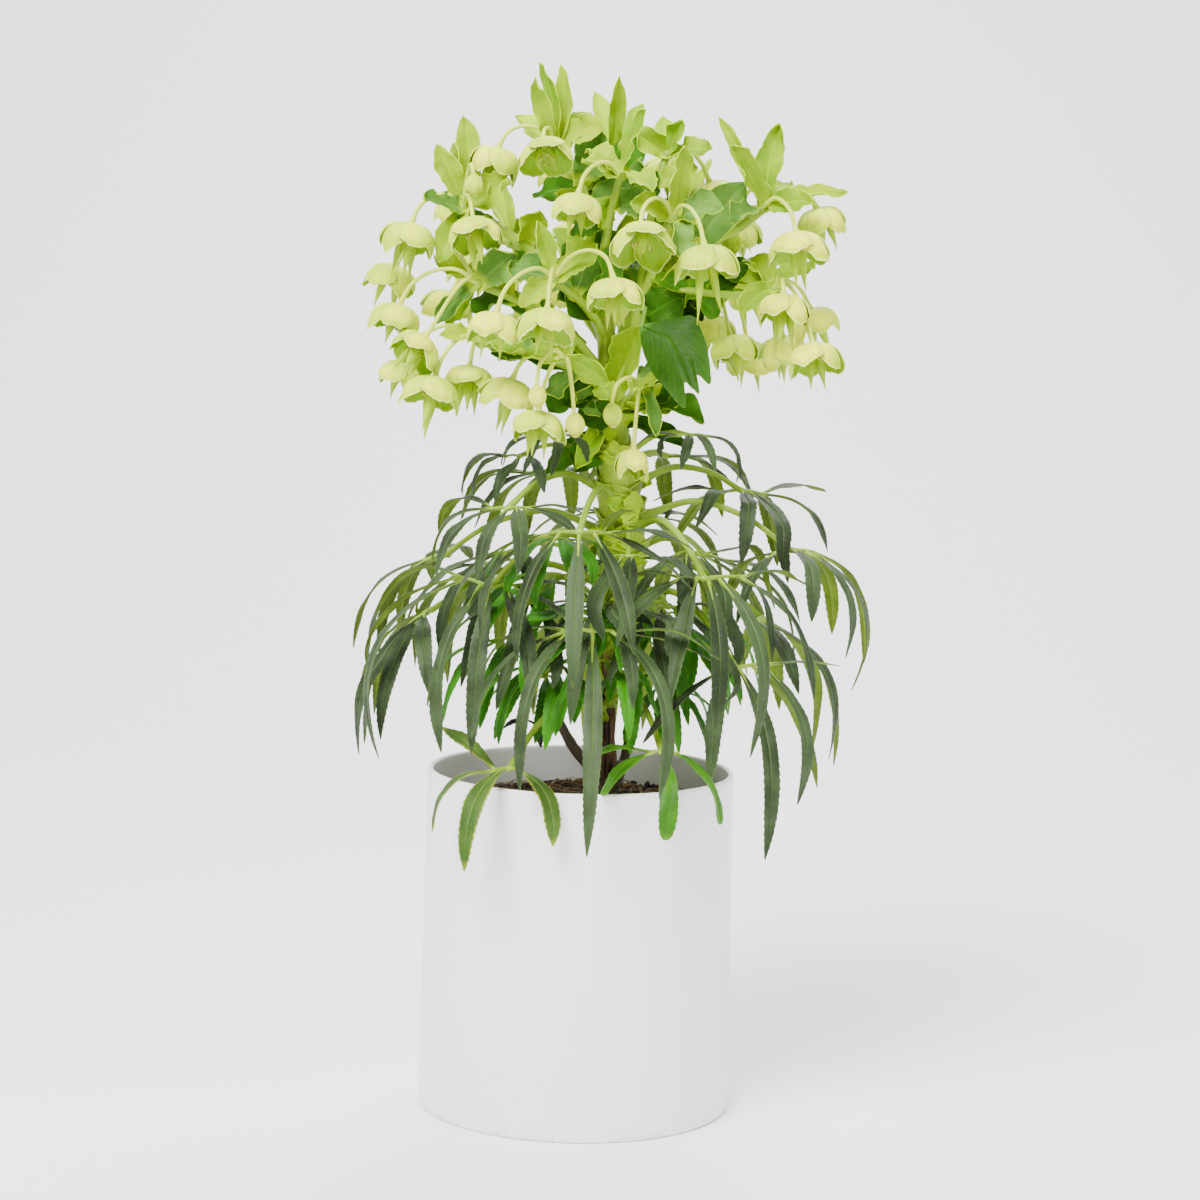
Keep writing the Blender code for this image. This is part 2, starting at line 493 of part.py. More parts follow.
def new_object(name, verts, faces):
    mesh = bpy.data.meshes.new(name)
    bm = bmesh.new()
    for v in verts:
        bm.verts.new([float(c) * MM for c in v])
    bm.verts.ensure_lookup_table()
    for f in faces:
        bm.faces.new([bm.verts[i] for i in f])
    bmesh.ops.recalc_face_normals(bm, faces=bm.faces)
    bmesh.ops.triangulate(bm, faces=bm.faces)
    bm.to_mesh(mesh)
    bm.free()
    obj = bpy.data.objects.new(name, mesh)
    bpy.context.scene.collection.objects.link(obj)
    return obj


def finish_object(obj, colour):
    base, rough = colour
    mat = bpy.data.materials.new(obj.name)
    mat.use_nodes = True
    shader = mat.node_tree.nodes["Principled BSDF"]
    shader.inputs["Base Color"].default_value = (*base, 1.0)
    shader.inputs["Roughness"].default_value = rough
    shader.inputs["Metallic"].default_value = 0.0
    obj.data.materials.clear()
    obj.data.materials.append(mat)
    obj.data.shade_smooth()
    obj.data.set_sharp_from_angle(angle=math.radians(50))
    return obj


def one_closed_skin(bm):
    if any(not edge.is_manifold for edge in bm.edges):
        return False
    bm.faces.ensure_lookup_table()
    reached = {0}
    waiting = [bm.faces[0]]
    while waiting:
        for edge in waiting.pop().edges:
            for face in edge.link_faces:
                if face.index not in reached:
                    reached.add(face.index)
                    waiting.append(face)
    return len(reached) == len(bm.faces)


def crosses_itself(bm):
    """True where two triangles that share no corner touch."""
    bm.faces.ensure_lookup_table()
    tree = BVHTree.FromBMesh(bm, epsilon=0.0)
    corners = [{v.index for v in face.verts} for face in bm.faces]
    return any(not corners[a] & corners[b] for a, b in tree.overlap(tree) if a < b)


def combine(body, pieces, operation, solver="EXACT"):
    """Union or difference of one body with a collection of closed pieces, applied."""
    group = bpy.data.collections.new(body.name + "_pieces")
    bpy.context.scene.collection.children.link(group)
    for i, (verts, faces) in enumerate(pieces):
        piece = new_object(f"{body.name}_piece_{i:03d}", verts, faces)
        bpy.context.scene.collection.objects.unlink(piece)
        group.objects.link(piece)
        piece.hide_render = True
        piece.display_type = "WIRE"
    step = body.modifiers.new("combine", "BOOLEAN")
    step.operation = operation
    step.operand_type = "COLLECTION"
    step.collection = group
    step.solver = solver
    bpy.context.view_layer.update()
    evaluated = body.evaluated_get(bpy.context.evaluated_depsgraph_get())
    mesh = bpy.data.meshes.new_from_object(evaluated)
    body.modifiers.clear()
    body.data = mesh
    for piece in list(group.objects):
        bpy.data.objects.remove(piece)
    bpy.data.collections.remove(group)
    for merge in SEAM_MERGES:
        bm = bmesh.new()
        bm.from_mesh(mesh)
        if merge > 0.0:
            bmesh.ops.remove_doubles(bm, verts=bm.verts, dist=merge * MM)
            bmesh.ops.dissolve_limit(bm, angle_limit=math.radians(0.5), verts=bm.verts, edges=bm.edges)
        bmesh.ops.triangulate(bm, faces=bm.faces)
        sound = merge == 0.0 or (one_closed_skin(bm) and not crosses_itself(bm))
        if sound:
            bm.to_mesh(mesh)
        bm.free()
        if sound:
            break
    return body


def fuse(name, pieces, colour):
    body = new_object(name, *pieces[0])
    if len(pieces) > 1:
        combine(body, pieces[1:], "UNION")
    return finish_object(body, colour)


def turned(profile, sides):
    rings = []
    for r, z in profile[1:-1]:
        rings.append([vec(r * math.cos(a), r * math.sin(a), z)
                      for a in (2 * math.pi * k / sides for k in range(sides))])
    return rings_to_mesh(rings, start=vec(0, 0, profile[0][1]), end=vec(0, 0, profile[-1][1]))


def make_pot():
    slope = (POT_FOOT_RADIUS - POT_RIM_RADIUS) / POT_HEIGHT
    inner_foot = POT_FOOT_RADIUS - POT_WALL - slope * POT_FLOOR
    profile = [
        (0, 0), (POT_FOOT_RADIUS - 2.2, 0), (POT_FOOT_RADIUS, 2.6), (POT_RIM_RADIUS, POT_HEIGHT - 0.9),
        (POT_RIM_RADIUS - 0.9, POT_HEIGHT), (POT_RIM_RADIUS - POT_WALL, POT_HEIGHT),
        (inner_foot, POT_FLOOR), (0, POT_FLOOR),
    ]
    return finish_object(new_object("pot", *turned(profile, POT_SIDES)), WHITE_GLAZE)


def make_soil():
    slope = (POT_FOOT_RADIUS - POT_RIM_RADIUS) / POT_HEIGHT
    low = POT_FLOOR + FIT_GAP
    inner_top = POT_RIM_RADIUS - POT_WALL + slope * (POT_HEIGHT - SOIL_TOP) - 0.5
    inner_low = POT_FOOT_RADIUS - POT_WALL - slope * low - 0.5
    draw = random.Random(11)
    profile = [(0, low), (inner_low, low), (inner_top, SOIL_TOP - 1.5), (inner_top - 3, SOIL_TOP)]
    verts, faces = turned(profile + [(60, SOIL_TOP + 1), (34, SOIL_TOP + 1), (0, SOIL_TOP + 1)], 24)
    bumpy = []
    for x, y, z in verts:
        r = math.hypot(x, y)
        lift = draw.uniform(-2.2, 2.2) if z > SOIL_TOP + 0.5 and 30 < r < 70 else 0.0
        bumpy.append((x, y, z + lift))
    soil = new_object("soil", bumpy, faces)
    foot = TRUNK[0]
    hole = tube([(foot[1], foot[2], foot[0] - FIT_GAP), (foot[1], foot[2], SOIL_TOP + 12)], 7.6, 12)
    combine(soil, [hole], "DIFFERENCE")
    return finish_object(soil, SOIL_BROWN)


def trunk_axis(z):
    heights = [row[0] for row in TRUNK]
    return vec(np.interp(z, heights, [row[1] for row in TRUNK]),
               np.interp(z, heights, [row[2] for row in TRUNK]), z)


def trunk_radius(z):
    return float(np.interp(z, [row[0] for row in TRUNK], [row[3] for row in TRUNK]))


def trunk_reach(z, azimuth):
    """Distance from the axis to the flat-sided skin, at its widest over the foot of a stalk."""
    step = 2 * math.pi / TRUNK_SIDES
    off = (math.radians(azimuth) + step / 2) % step - step / 2
    widest = max(trunk_radius(z + dz) for dz in (-2.6, -1.3, 0.0, 1.3, 2.6))
    reach = widest * math.cos(step / 2) / math.cos(off)
    for corner in (step / 2, -step / 2):
        if abs(widest * math.sin(corner - off)) < 2.8:
            reach = max(reach, widest * math.cos(corner - off))
    return reach


def make_stem():
    rings = []
    for z, x, y, r in TRUNK:
        ring = []
        for k in range(TRUNK_SIDES):
            a = 2 * math.pi * (k + 0.5) / TRUNK_SIDES
            ring.append(vec(x + r * math.cos(a), y + r * math.sin(a), z))
        rings.append(ring)
    pieces = [rings_to_mesh(rings)]
    for points, r0, r1 in BRANCHES.values():
        path = smooth_path(points, 1)
        pieces.append(tube(path, np.linspace(r0, r1, len(path)), 4))
    for points, r0, r1 in (
        ([(15, 0, 186), (6, -6, 200), (-6, -10, 216), (-18, -13, 238)], 3.4, 2.8),
        ([(15, 0, 184), (21, -8, 194), (24, -12, 206)], 4.0, 3.2),
        ([(15, 0, 184), (8, 8, 198), (4, 13, 212)], 4.0, 3.0),
        ([(15, 0, 185), (24, 7, 200), (29, 12, 222)], 3.6, 2.6),
        ([(15, 0, 184), (9, -9, 190), (3, -13, 198)], 3.6, 2.8),
    ):
        pieces.append(tube(points, np.linspace(r0, r1, len(points)), 5))
    return fuse("stem", pieces, STEM_GREEN)


def petiole_path(root, hub):
    z, azimuth = root
    out = heading(azimuth)
    start = trunk_axis(z) + out * (trunk_reach(z, azimuth) + SEAT_GAP)
    hub = vec(*hub)
    gap = np.linalg.norm(hub - start)
    second = start + out * 4.0
    rise = vec(0, 0, 0.22 * gap)
    path = bezier(second, second + out * gap * 0.25 + rise, hub - (hub - second) * 0.25 + rise * 0.8, hub, 3)
    return np.vstack([[start], path])


def arc(base, azimuth, length, slope0, slope1, steps=CHAIN_STEPS):
    """Leaflet midrib: level heading fixed, slope changing evenly from base to tip."""
    out = [np.array(base, dtype=float)]
    flat = heading(azimuth)
    for i in range(steps):
        e = math.radians(slope0 + (slope1 - slope0) * (i + 0.5) / steps)
        out.append(out[-1] + (flat * math.cos(e) + vec(0, 0, math.sin(e))) * length / steps)
    return np.array(out)


def arm_path(leaf):
    left, right = (vec(*p) for p in leaf["arms"])
    hub = vec(*leaf["hub"])
    return np.array([left, 0.5 * (left + hub) + vec(0, 0, 0.6), hub, 0.5 * (right + hub) + vec(0, 0, 0.6), right])


def on_arms(leaf, s):
    left, mid_left, hub, mid_right, right = arm_path(leaf)
    half = [hub, mid_left, left] if s < 0 else [hub, mid_right, right]
    return along(half, min(abs(s), 0.97))


def spread_apart(chains, owners, widths, fixed, rounds=70):
    """Moves hanging leaflets of different leaves clear of each other, of the stalks and of the pot.

    Each chain keeps its first point and the lengths of its links."""
    p = np.array(chains)
    links = np.linalg.norm(np.diff(p, axis=1), axis=2)
    count, size = p.shape[:2]
    owner = np.repeat(np.array(owners), size)
    t = np.linspace(0.0, 1.0, size)
    body = np.interp(t, [0, 0.12, 0.4, 0.7, 1.0], [0.3, 0.62, 1.0, 0.9, 0.3])
    reach = (np.array(widths)[:, None] * 0.5 * body[None, :] + 0.9).reshape(-1)
    free = np.tile(np.clip(t * 2.2, 0.0, 1.0), count)
    free[np.tile(t, count) == 0.0] = 0.0
    f_pos = np.array([f[0] for f in fixed])
    f_reach = np.array([f[1] for f in fixed])
    f_owner = np.array([f[2] for f in fixed])
    for _ in range(rounds):
        q = p.reshape(-1, 3)
        push = np.zeros_like(q)
        delta = q[:, None, :] - q[None, :, :]
        dist = np.sqrt((delta ** 2).sum(axis=2)) + 1e-6
        lack = reach[:, None] + reach[None, :] - dist
        lack[(lack < 0) | (owner[:, None] == owner[None, :])] = 0.0
        push += (delta * (0.42 * lack / dist)[:, :, None]).sum(axis=1)
        delta = q[:, None, :] - f_pos[None, :, :]
        dist = np.sqrt((delta ** 2).sum(axis=2)) + 1e-6
        lack = reach[:, None] + f_reach[None, :] - dist
        lack[(lack < 0) | (owner[:, None] == f_owner[None, :])] = 0.0
        push += (delta * (0.7 * lack / dist)[:, :, None]).sum(axis=1)
        size_now = np.linalg.norm(push, axis=1)[:, None]
        push *= np.minimum(1.0, 3.0 / np.maximum(size_now, 1e-6))
        q = q + push * free[:, None]
        q = clear_of_pot(q, free)
        p = q.reshape(count, size, 3)
        p[:, 1:-1] += 0.12 * (0.5 * (p[:, :-2] + p[:, 2:]) - p[:, 1:-1])
        for k in range(1, size):
            step = p[:, k] - p[:, k - 1]
            step /= np.linalg.norm(step, axis=1)[:, None] + 1e-9
            p[:, k] = p[:, k - 1] + step * links[:, k - 1][:, None]
    return p


def clear_of_pot(q, free):
    """Points near the wall go outside it or over the rim, and none sinks into the soil."""
    q = q.copy()
    r = np.hypot(q[:, 0], q[:, 1]) + 1e-9
    middle = POT_RIM_RADIUS - 0.5 * POT_WALL
    above = np.maximum(q[:, 2] - POT_HEIGHT, 0.0)
    beside = r - middle
    beside[(np.abs(beside) < 0.3)] = 0.3
    dist = np.hypot(beside, above) + 1e-9
    lack = np.maximum(0.5 * POT_WALL + 3.6 - dist, 0.0) * (free > 0)
    q[:, 0] += q[:, 0] / r * beside / dist * lack
    q[:, 1] += q[:, 1] / r * beside / dist * lack
    q[:, 2] += above / dist * lack
    inside = (r < middle) & (free > 0)
    q[inside, 2] = np.maximum(q[inside, 2], SOIL_TOP + 6.0)
    return q


def leaflet_paths():
    """Midrib of every leaflet, after the leaves have been spread apart."""
    chains, owners, widths, fixed, tags = [], [], [], [], []
    for number, (name, leaf) in enumerate(LEAVES.items()):
        for index, (s, azimuth, length, slope0, slope1) in enumerate(leaf["leaflets"]):
            chains.append(arc(on_arms(leaf, s), azimuth, length, slope0, slope1))
            owners.append(number)
            widths.append(leaf.get("width", LEAFLET_WIDTH))
            tags.append((name, index))
        for point in resample(petiole_path(leaf["root"], leaf["hub"]), 14):
            fixed.append((point, PETIOLE_RADIUS + 0.8, number))
        for point in resample(arm_path(leaf), 8):
            fixed.append((point, ARM_RADIUS + 1.0, number))
    for z in np.arange(180, 420, 6.0):
        fixed.append((trunk_axis(z), trunk_radius(z) + 1.5, -1))
    for spray in SPRAYS.values():
        for x, y, z, *_ in spray["flowers"]:
            fixed.append((vec(x, y, z), 15.0, -1))
    solved = spread_apart(chains, owners, widths, fixed)
    paths = {}
    for (name, index), chain in zip(tags, solved):
        paths[name, index] = chain
    return paths


def make_leaf(name, leaf, paths):
    petiole = petiole_path(leaf["root"], leaf["hub"])
    arms = arm_path(leaf)
    pieces = [tube(petiole, np.linspace(PETIOLE_RADIUS * 1.25, PETIOLE_RADIUS * 0.8, len(petiole)), 4)]
    pieces.append(tube(arms, [ARM_RADIUS * 0.85, ARM_RADIUS, ARM_RADIUS * 1.1, ARM_RADIUS, ARM_RADIUS * 0.85], 3))
    for index, (s, azimuth, length, slope0, slope1) in enumerate(leaf["leaflets"]):
        path = paths[name, index]
        side = np.cross(heading(azimuth), vec(0, 0, 1))
        if length > 92 and "back" not in name:
            stations, shape = (0.13, 0.38, 0.64, 0.86), (0.5, 1.0, 0.92, 0.52)
        else:
            stations, shape = (0.18, 0.5, 0.8), (0.6, 1.0, 0.66)
        width = leaf.get("width", LEAFLET_WIDTH) * (0.82 + 0.18 * min(length / 100.0, 1.0))
        pieces.append(blade(path, side, width, LEAFLET_THICKNESS, stations, shape))
    colour = YOUNG_GREEN if name.startswith(("young", "rim")) else LEAF_GREEN
    return fuse("leaf_" + name, pieces, colour)


def pedicel_path(node, top, axis):
    """Rises from the node, arches over and comes down into the bell along its axis."""
    gap = np.linalg.norm(top - node)
    lift = vec(0, 0, 1) * (6.0 + 0.30 * gap)
    inner = node + 0.25 * (top - node) + lift
    return bezier(node, inner, top - axis * (5.0 + 0.32 * gap), top, 4 if gap > 30 else 3)


def flower_pose(row):
    x, y, z, azimuth, tip, size = row
    tilt = math.radians(tip)
    axis = heading(azimuth) * math.sin(tilt) - vec(0, 0, 1) * math.cos(tilt)
    return vec(x, y, z) - axis * BELL_DEPTH * size * 0.5, axis, size


def make_spray(name, spray, number):
    draw = random.Random(100 + number)
    node = vec(*spray["node"])
    end = smooth_path(BRANCHES[spray["on"]][0], 1)[-2:]
    out = unit(end[1] - end[0])
    start = end[1] + out * 0.3
    radius = BRANCHES[spray["on"]][2]
    pieces = [tube([start, start + out * 3.0, node], [radius * 0.95, radius * 0.95, radius * 1.05], 5)]
    pieces.append(knob(node, 4.6))
    for row in spray["flowers"]:
        top, axis, size = flower_pose(row)
        path = pedicel_path(node, top, axis)
        pieces.append(flower(path, top, axis, BELL_RADIUS * size, BELL_DEPTH * size, draw.uniform(0, 72),
                             row[1] < 12))
    for x, y, z, size in spray.get("buds", []):
        axis = unit(vec(0.1, -0.15, -1.0))
        top = vec(x, y, z) - axis * 7.0 * size
        pieces.append(bud(pedicel_path(node, top, axis), top, axis, 11.0 * size, 14.0 * size))
    for base, tip, width in spray["bracts"]:
        base, tip = vec(*base), vec(*tip)
        run = tip - base
        level = vec(run[0], run[1], 0.0)
        level = unit(level) if np.linalg.norm(level) > 2 else heading(-90)
        side = np.cross(level, vec(0, 0, 1))
        bow = 0.10 * np.linalg.norm(run) * (vec(0, 0, 1) if run[2] < 0.6 * np.linalg.norm(run) else -level)
        path = bezier(node, base + bow * 0.5, base + 0.6 * run + bow, tip, 8)
        pieces.append(blade(path, side, width, BRACT_THICKNESS, (0.34, 0.62, 0.85), (0.74, 1.0, 0.6)))
    return fuse("spray_" + name, pieces, BELL_GREEN)


def make_dark_bract():
    """Broad bract that hangs in front of the right branch, its foot cut into small lobes."""
    rows = [((47, -15, 490), 2.0), ((50, -23, 487), 12.0), ((54, -36, 478), 29.0), ((58, -46, 464), 36.0),
            ((61, -52, 449), 37.0), ((63, -55, 434), 33.0), ((65, -57, 421), 26.0)]
    lobes = [-1.0, -0.62, -0.30, 0.0, 0.34, 0.66, 1.0]
    drops = [0.0, 13.0, 4.0, 17.0, 5.0, 13.0, -2.0]
    points = [vec(*centre) for centre, width in rows]
    top_side, under_side = [], []
    for i, ((tangent, across, up), (centre, width)) in enumerate(zip(frames(points, vec(1, 0.2, 0)), rows)):
        for k, share in enumerate(lobes):
            p = vec(*centre) + across * share * 0.5 * width + up * 0.10 * width * abs(share)
            if i == len(rows) - 1:
                p = p + tangent * drops[k]
            top_side.append(p)
            under_side.append(p - up * 1.5)
    verts = [tuple(p) for p in top_side + under_side]
    n, m, half = len(lobes), len(rows), len(top_side)
    faces = []
    for i in range(m - 1):
        for k in range(n - 1):
            a, b, c, d = i * n + k, i * n + k + 1, (i + 1) * n + k + 1, (i + 1) * n + k
            faces += [(a, b, c), (a, c, d), (half + c, half + b, half + a), (half + d, half + c, half + a)]
    edge = [k for k in range(n)] + [i * n + n - 1 for i in range(1, m)]
    edge += [(m - 1) * n + k for k in range(n - 2, -1, -1)] + [i * n for i in range(m - 2, 0, -1)]
    for a, b in zip(edge, edge[1:] + edge[:1]):
        faces += [(a, half + a, half + b), (a, half + b, b)]
    stem = tube([(45.5, -11.5, 494.0), (47, -16, 491), (50.5, -24, 486.3)], [1.6, 1.7, 1.2], 4)
    return fuse("bract_dark", [(verts, faces), stem], DARK_BRACT)


def clear_scene():
    for obj in list(bpy.data.objects):
        bpy.data.objects.remove(obj)


def main():
    clear_scene()
    make_pot()
    make_soil()
    make_stem()
    paths = leaflet_paths()
    for name, leaf in LEAVES.items():
        make_leaf(name, leaf, paths)
    for number, (name, spray) in enumerate(SPRAYS.items()):
        make_spray(name, spray, number)
    make_dark_bract()


main()
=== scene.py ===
"""Dressed potted hellebore. A tall plain white cylinder holds the soil, a sheathed stem that forks into
a head of nodding bells among lime bracts, and pedate leaves whose narrow leaflets arch over and hang.
Lengths here are in millimetres and become metres in the meshes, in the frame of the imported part."""
import math
import random

import bpy
import numpy as np
from bpy.props import FloatProperty, FloatVectorProperty, IntProperty, PointerProperty
from mathutils import Matrix, Vector, noise


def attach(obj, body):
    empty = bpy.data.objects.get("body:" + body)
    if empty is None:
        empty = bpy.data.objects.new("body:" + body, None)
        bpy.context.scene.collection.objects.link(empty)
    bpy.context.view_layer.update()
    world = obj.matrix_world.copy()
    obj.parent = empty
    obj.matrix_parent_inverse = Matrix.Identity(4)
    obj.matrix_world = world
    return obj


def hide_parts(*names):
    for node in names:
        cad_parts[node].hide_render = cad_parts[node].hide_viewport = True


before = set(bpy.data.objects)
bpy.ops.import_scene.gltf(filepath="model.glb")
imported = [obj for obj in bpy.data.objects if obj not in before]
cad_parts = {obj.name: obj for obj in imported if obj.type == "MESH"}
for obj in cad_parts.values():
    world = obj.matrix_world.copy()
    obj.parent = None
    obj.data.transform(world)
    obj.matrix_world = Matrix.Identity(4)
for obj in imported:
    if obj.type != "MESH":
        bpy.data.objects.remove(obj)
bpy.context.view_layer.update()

bl_info = {
    "name": "Potted Hellebore",
    "version": (1, 0, 0),
    "blender": (4, 5, 0),
    "location": "View3D > Sidebar > Hellebore",
    "description": "Dresses a hellebore in a tall white pot: bells, bracts, pedate leaves, stems and soil",
    "category": "Add Mesh",
}

MM = 0.001

# Pot and soil
POT_HEIGHT = 200.0
POT_RIM_RADIUS = 90.0
POT_FOOT_RADIUS = 92.3
POT_WALL = 3.2
POT_FLOOR = 5.0
POT_SIDES = 160
SOIL_TOP = 178.0
SOIL_RADIUS = 86.4
SOIL_DEPTH = 26.0
SOIL_RINGS, SOIL_SIDES = 46, 150

# Leaves: widths and radii, the teeth of a leaflet, and how many points a stalk has
LEAFLET_WIDTH = 11.0
BLADE_THICKNESS = 0.42
TOOTH_PITCH = 4.2
TOOTH_DEPTH = 0.5
PETIOLE_RADIUS = 2.1
ARM_RADIUS = 1.9
CHAIN_STEPS = 12
SEAT_GAP = 0.4
PETIOLE_POINTS = 30
ARM_POINTS = 25

# Flowers: those whose middle lies before FINE_BEFORE get a finer mesh than the ones behind
BELL_RADIUS = 14.5
BELL_DEPTH = 15.5
PEDICEL_RADIUS = 1.25
SEPALS = 5
STAMENS, STAMENS_BEHIND = 14, 9
FINE_BEFORE = 40.0

# Trunk: height, x, y and radius of the axis at each level; the middle is swollen by leaf sheaths
TRUNK = [
    (140, 15, 0, 5.2), (182, 15, 0, 6.5), (205, 15, 0, 5.4), (240, 14, 0, 4.8), (271, 14, 0, 5.0),
    (286, 16, 0, 7.0), (296, 19, 0, 10.5), (307, 20, 0, 9.0), (314, 20, 0, 11.5), (325, 21, 0, 9.6),
    (332, 21, 0, 12.0), (343, 20, 0, 10.0), (350, 20, 0, 12.2), (361, 19, 0, 10.0), (368, 18, 0, 11.4),
    (379, 17, 0, 8.8), (386, 15, 0, 9.6), (398, 13, 0, 7.2), (417, 11, 0, 6.3), (446, 9, 0, 5.6),
    (472, 6, 0, 4.6),
]
TRUNK_SIDES = 9
TRUNK_FACETS = 44
BARE_SHEATHS = 13
SHEATH_TURN = 137.5
# Heights in metres between which its bark gives way to green
BARK_TOP, GREEN_FOOT = 0.262, 0.296

# Main branches of the head: points from the trunk outward, and the radius at each end
BRANCHES = {
    "up": ([(7, 0, 455), (3, 3, 490), (-2, 0, 520), (-10, -3, 545)], 4.2, 2.6),
    "left": ([(6, 0, 462), (-14, -4, 484), (-38, -6, 503), (-60, -6, 518)], 3.8, 2.4),
    "left_low": ([(9, 0, 430), (-10, -12, 452), (-32, -20, 468), (-50, -22, 476)], 3.2, 2.2),
    "left_foot": ([(10, 0, 420), (-8, -14, 434), (-30, -26, 442), (-48, -32, 446)], 2.8, 2.0),
    "front": ([(7, 0, 452), (0, -18, 466), (-9, -32, 476), (-16, -42, 481)], 3.2, 2.2),
    "front_up": ([(4, 0, 486), (6, -14, 505), (9, -24, 524), (12, -30, 538)], 3.0, 2.2),
    "front_low": ([(10, 0, 416), (4, -20, 426), (-4, -34, 433), (-9, -46, 437)], 2.6, 1.9),
    "right": ([(11, 0, 405), (20, -4, 440), (29, -7, 476), (47, -7, 497), (82, -4, 518)], 5.0, 2.6),
    "right_front": ([(31, -7, 482), (36, -18, 500), (40, -30, 514)], 3.0, 2.2),
    "right_top": ([(27, -6, 470), (30, -2, 505), (34, 2, 535), (37, 5, 548)], 3.2, 2.2),
    "right_low": ([(28, -7, 474), (50, -8, 481), (74, -11, 480), (92, -13, 481)], 3.2, 2.2),
    "right_back": ([(26, -6, 468), (40, 6, 478), (56, 12, 482)], 2.8, 2.0),
    "foot": ([(12, 0, 402), (17, -12, 412), (22, -20, 420)], 2.4, 1.8),
    "back": ([(8, 0, 446), (6, 22, 468), (3, 40, 482), (0, 54, 490)], 3.6, 2.4),
    "back_right": ([(10, 0, 440), (24, 20, 468), (36, 36, 490), (44, 44, 500)], 3.4, 2.2),
    "back_left": ([(8, 0, 450), (-14, 20, 478), (-34, 36, 495), (-42, 44, 500)], 3.4, 2.2),
    "top_back": ([(3, 1, 500), (6, 10, 525), (8, 18, 545)], 2.8, 2.2),
}


def spray_row(branch, node, flowers, bracts, buds=()):
    """What one node of the head bears, and the branch that it ends.

    flower: bell centre x y z, the azimuth its mouth tips to, the tip from straight down, width over 29 mm
    bract: base x y z, tip x y z, width;  bud: x y z of its middle, size"""
    return dict(on=branch, node=node, flowers=flowers, bracts=bracts, buds=buds)


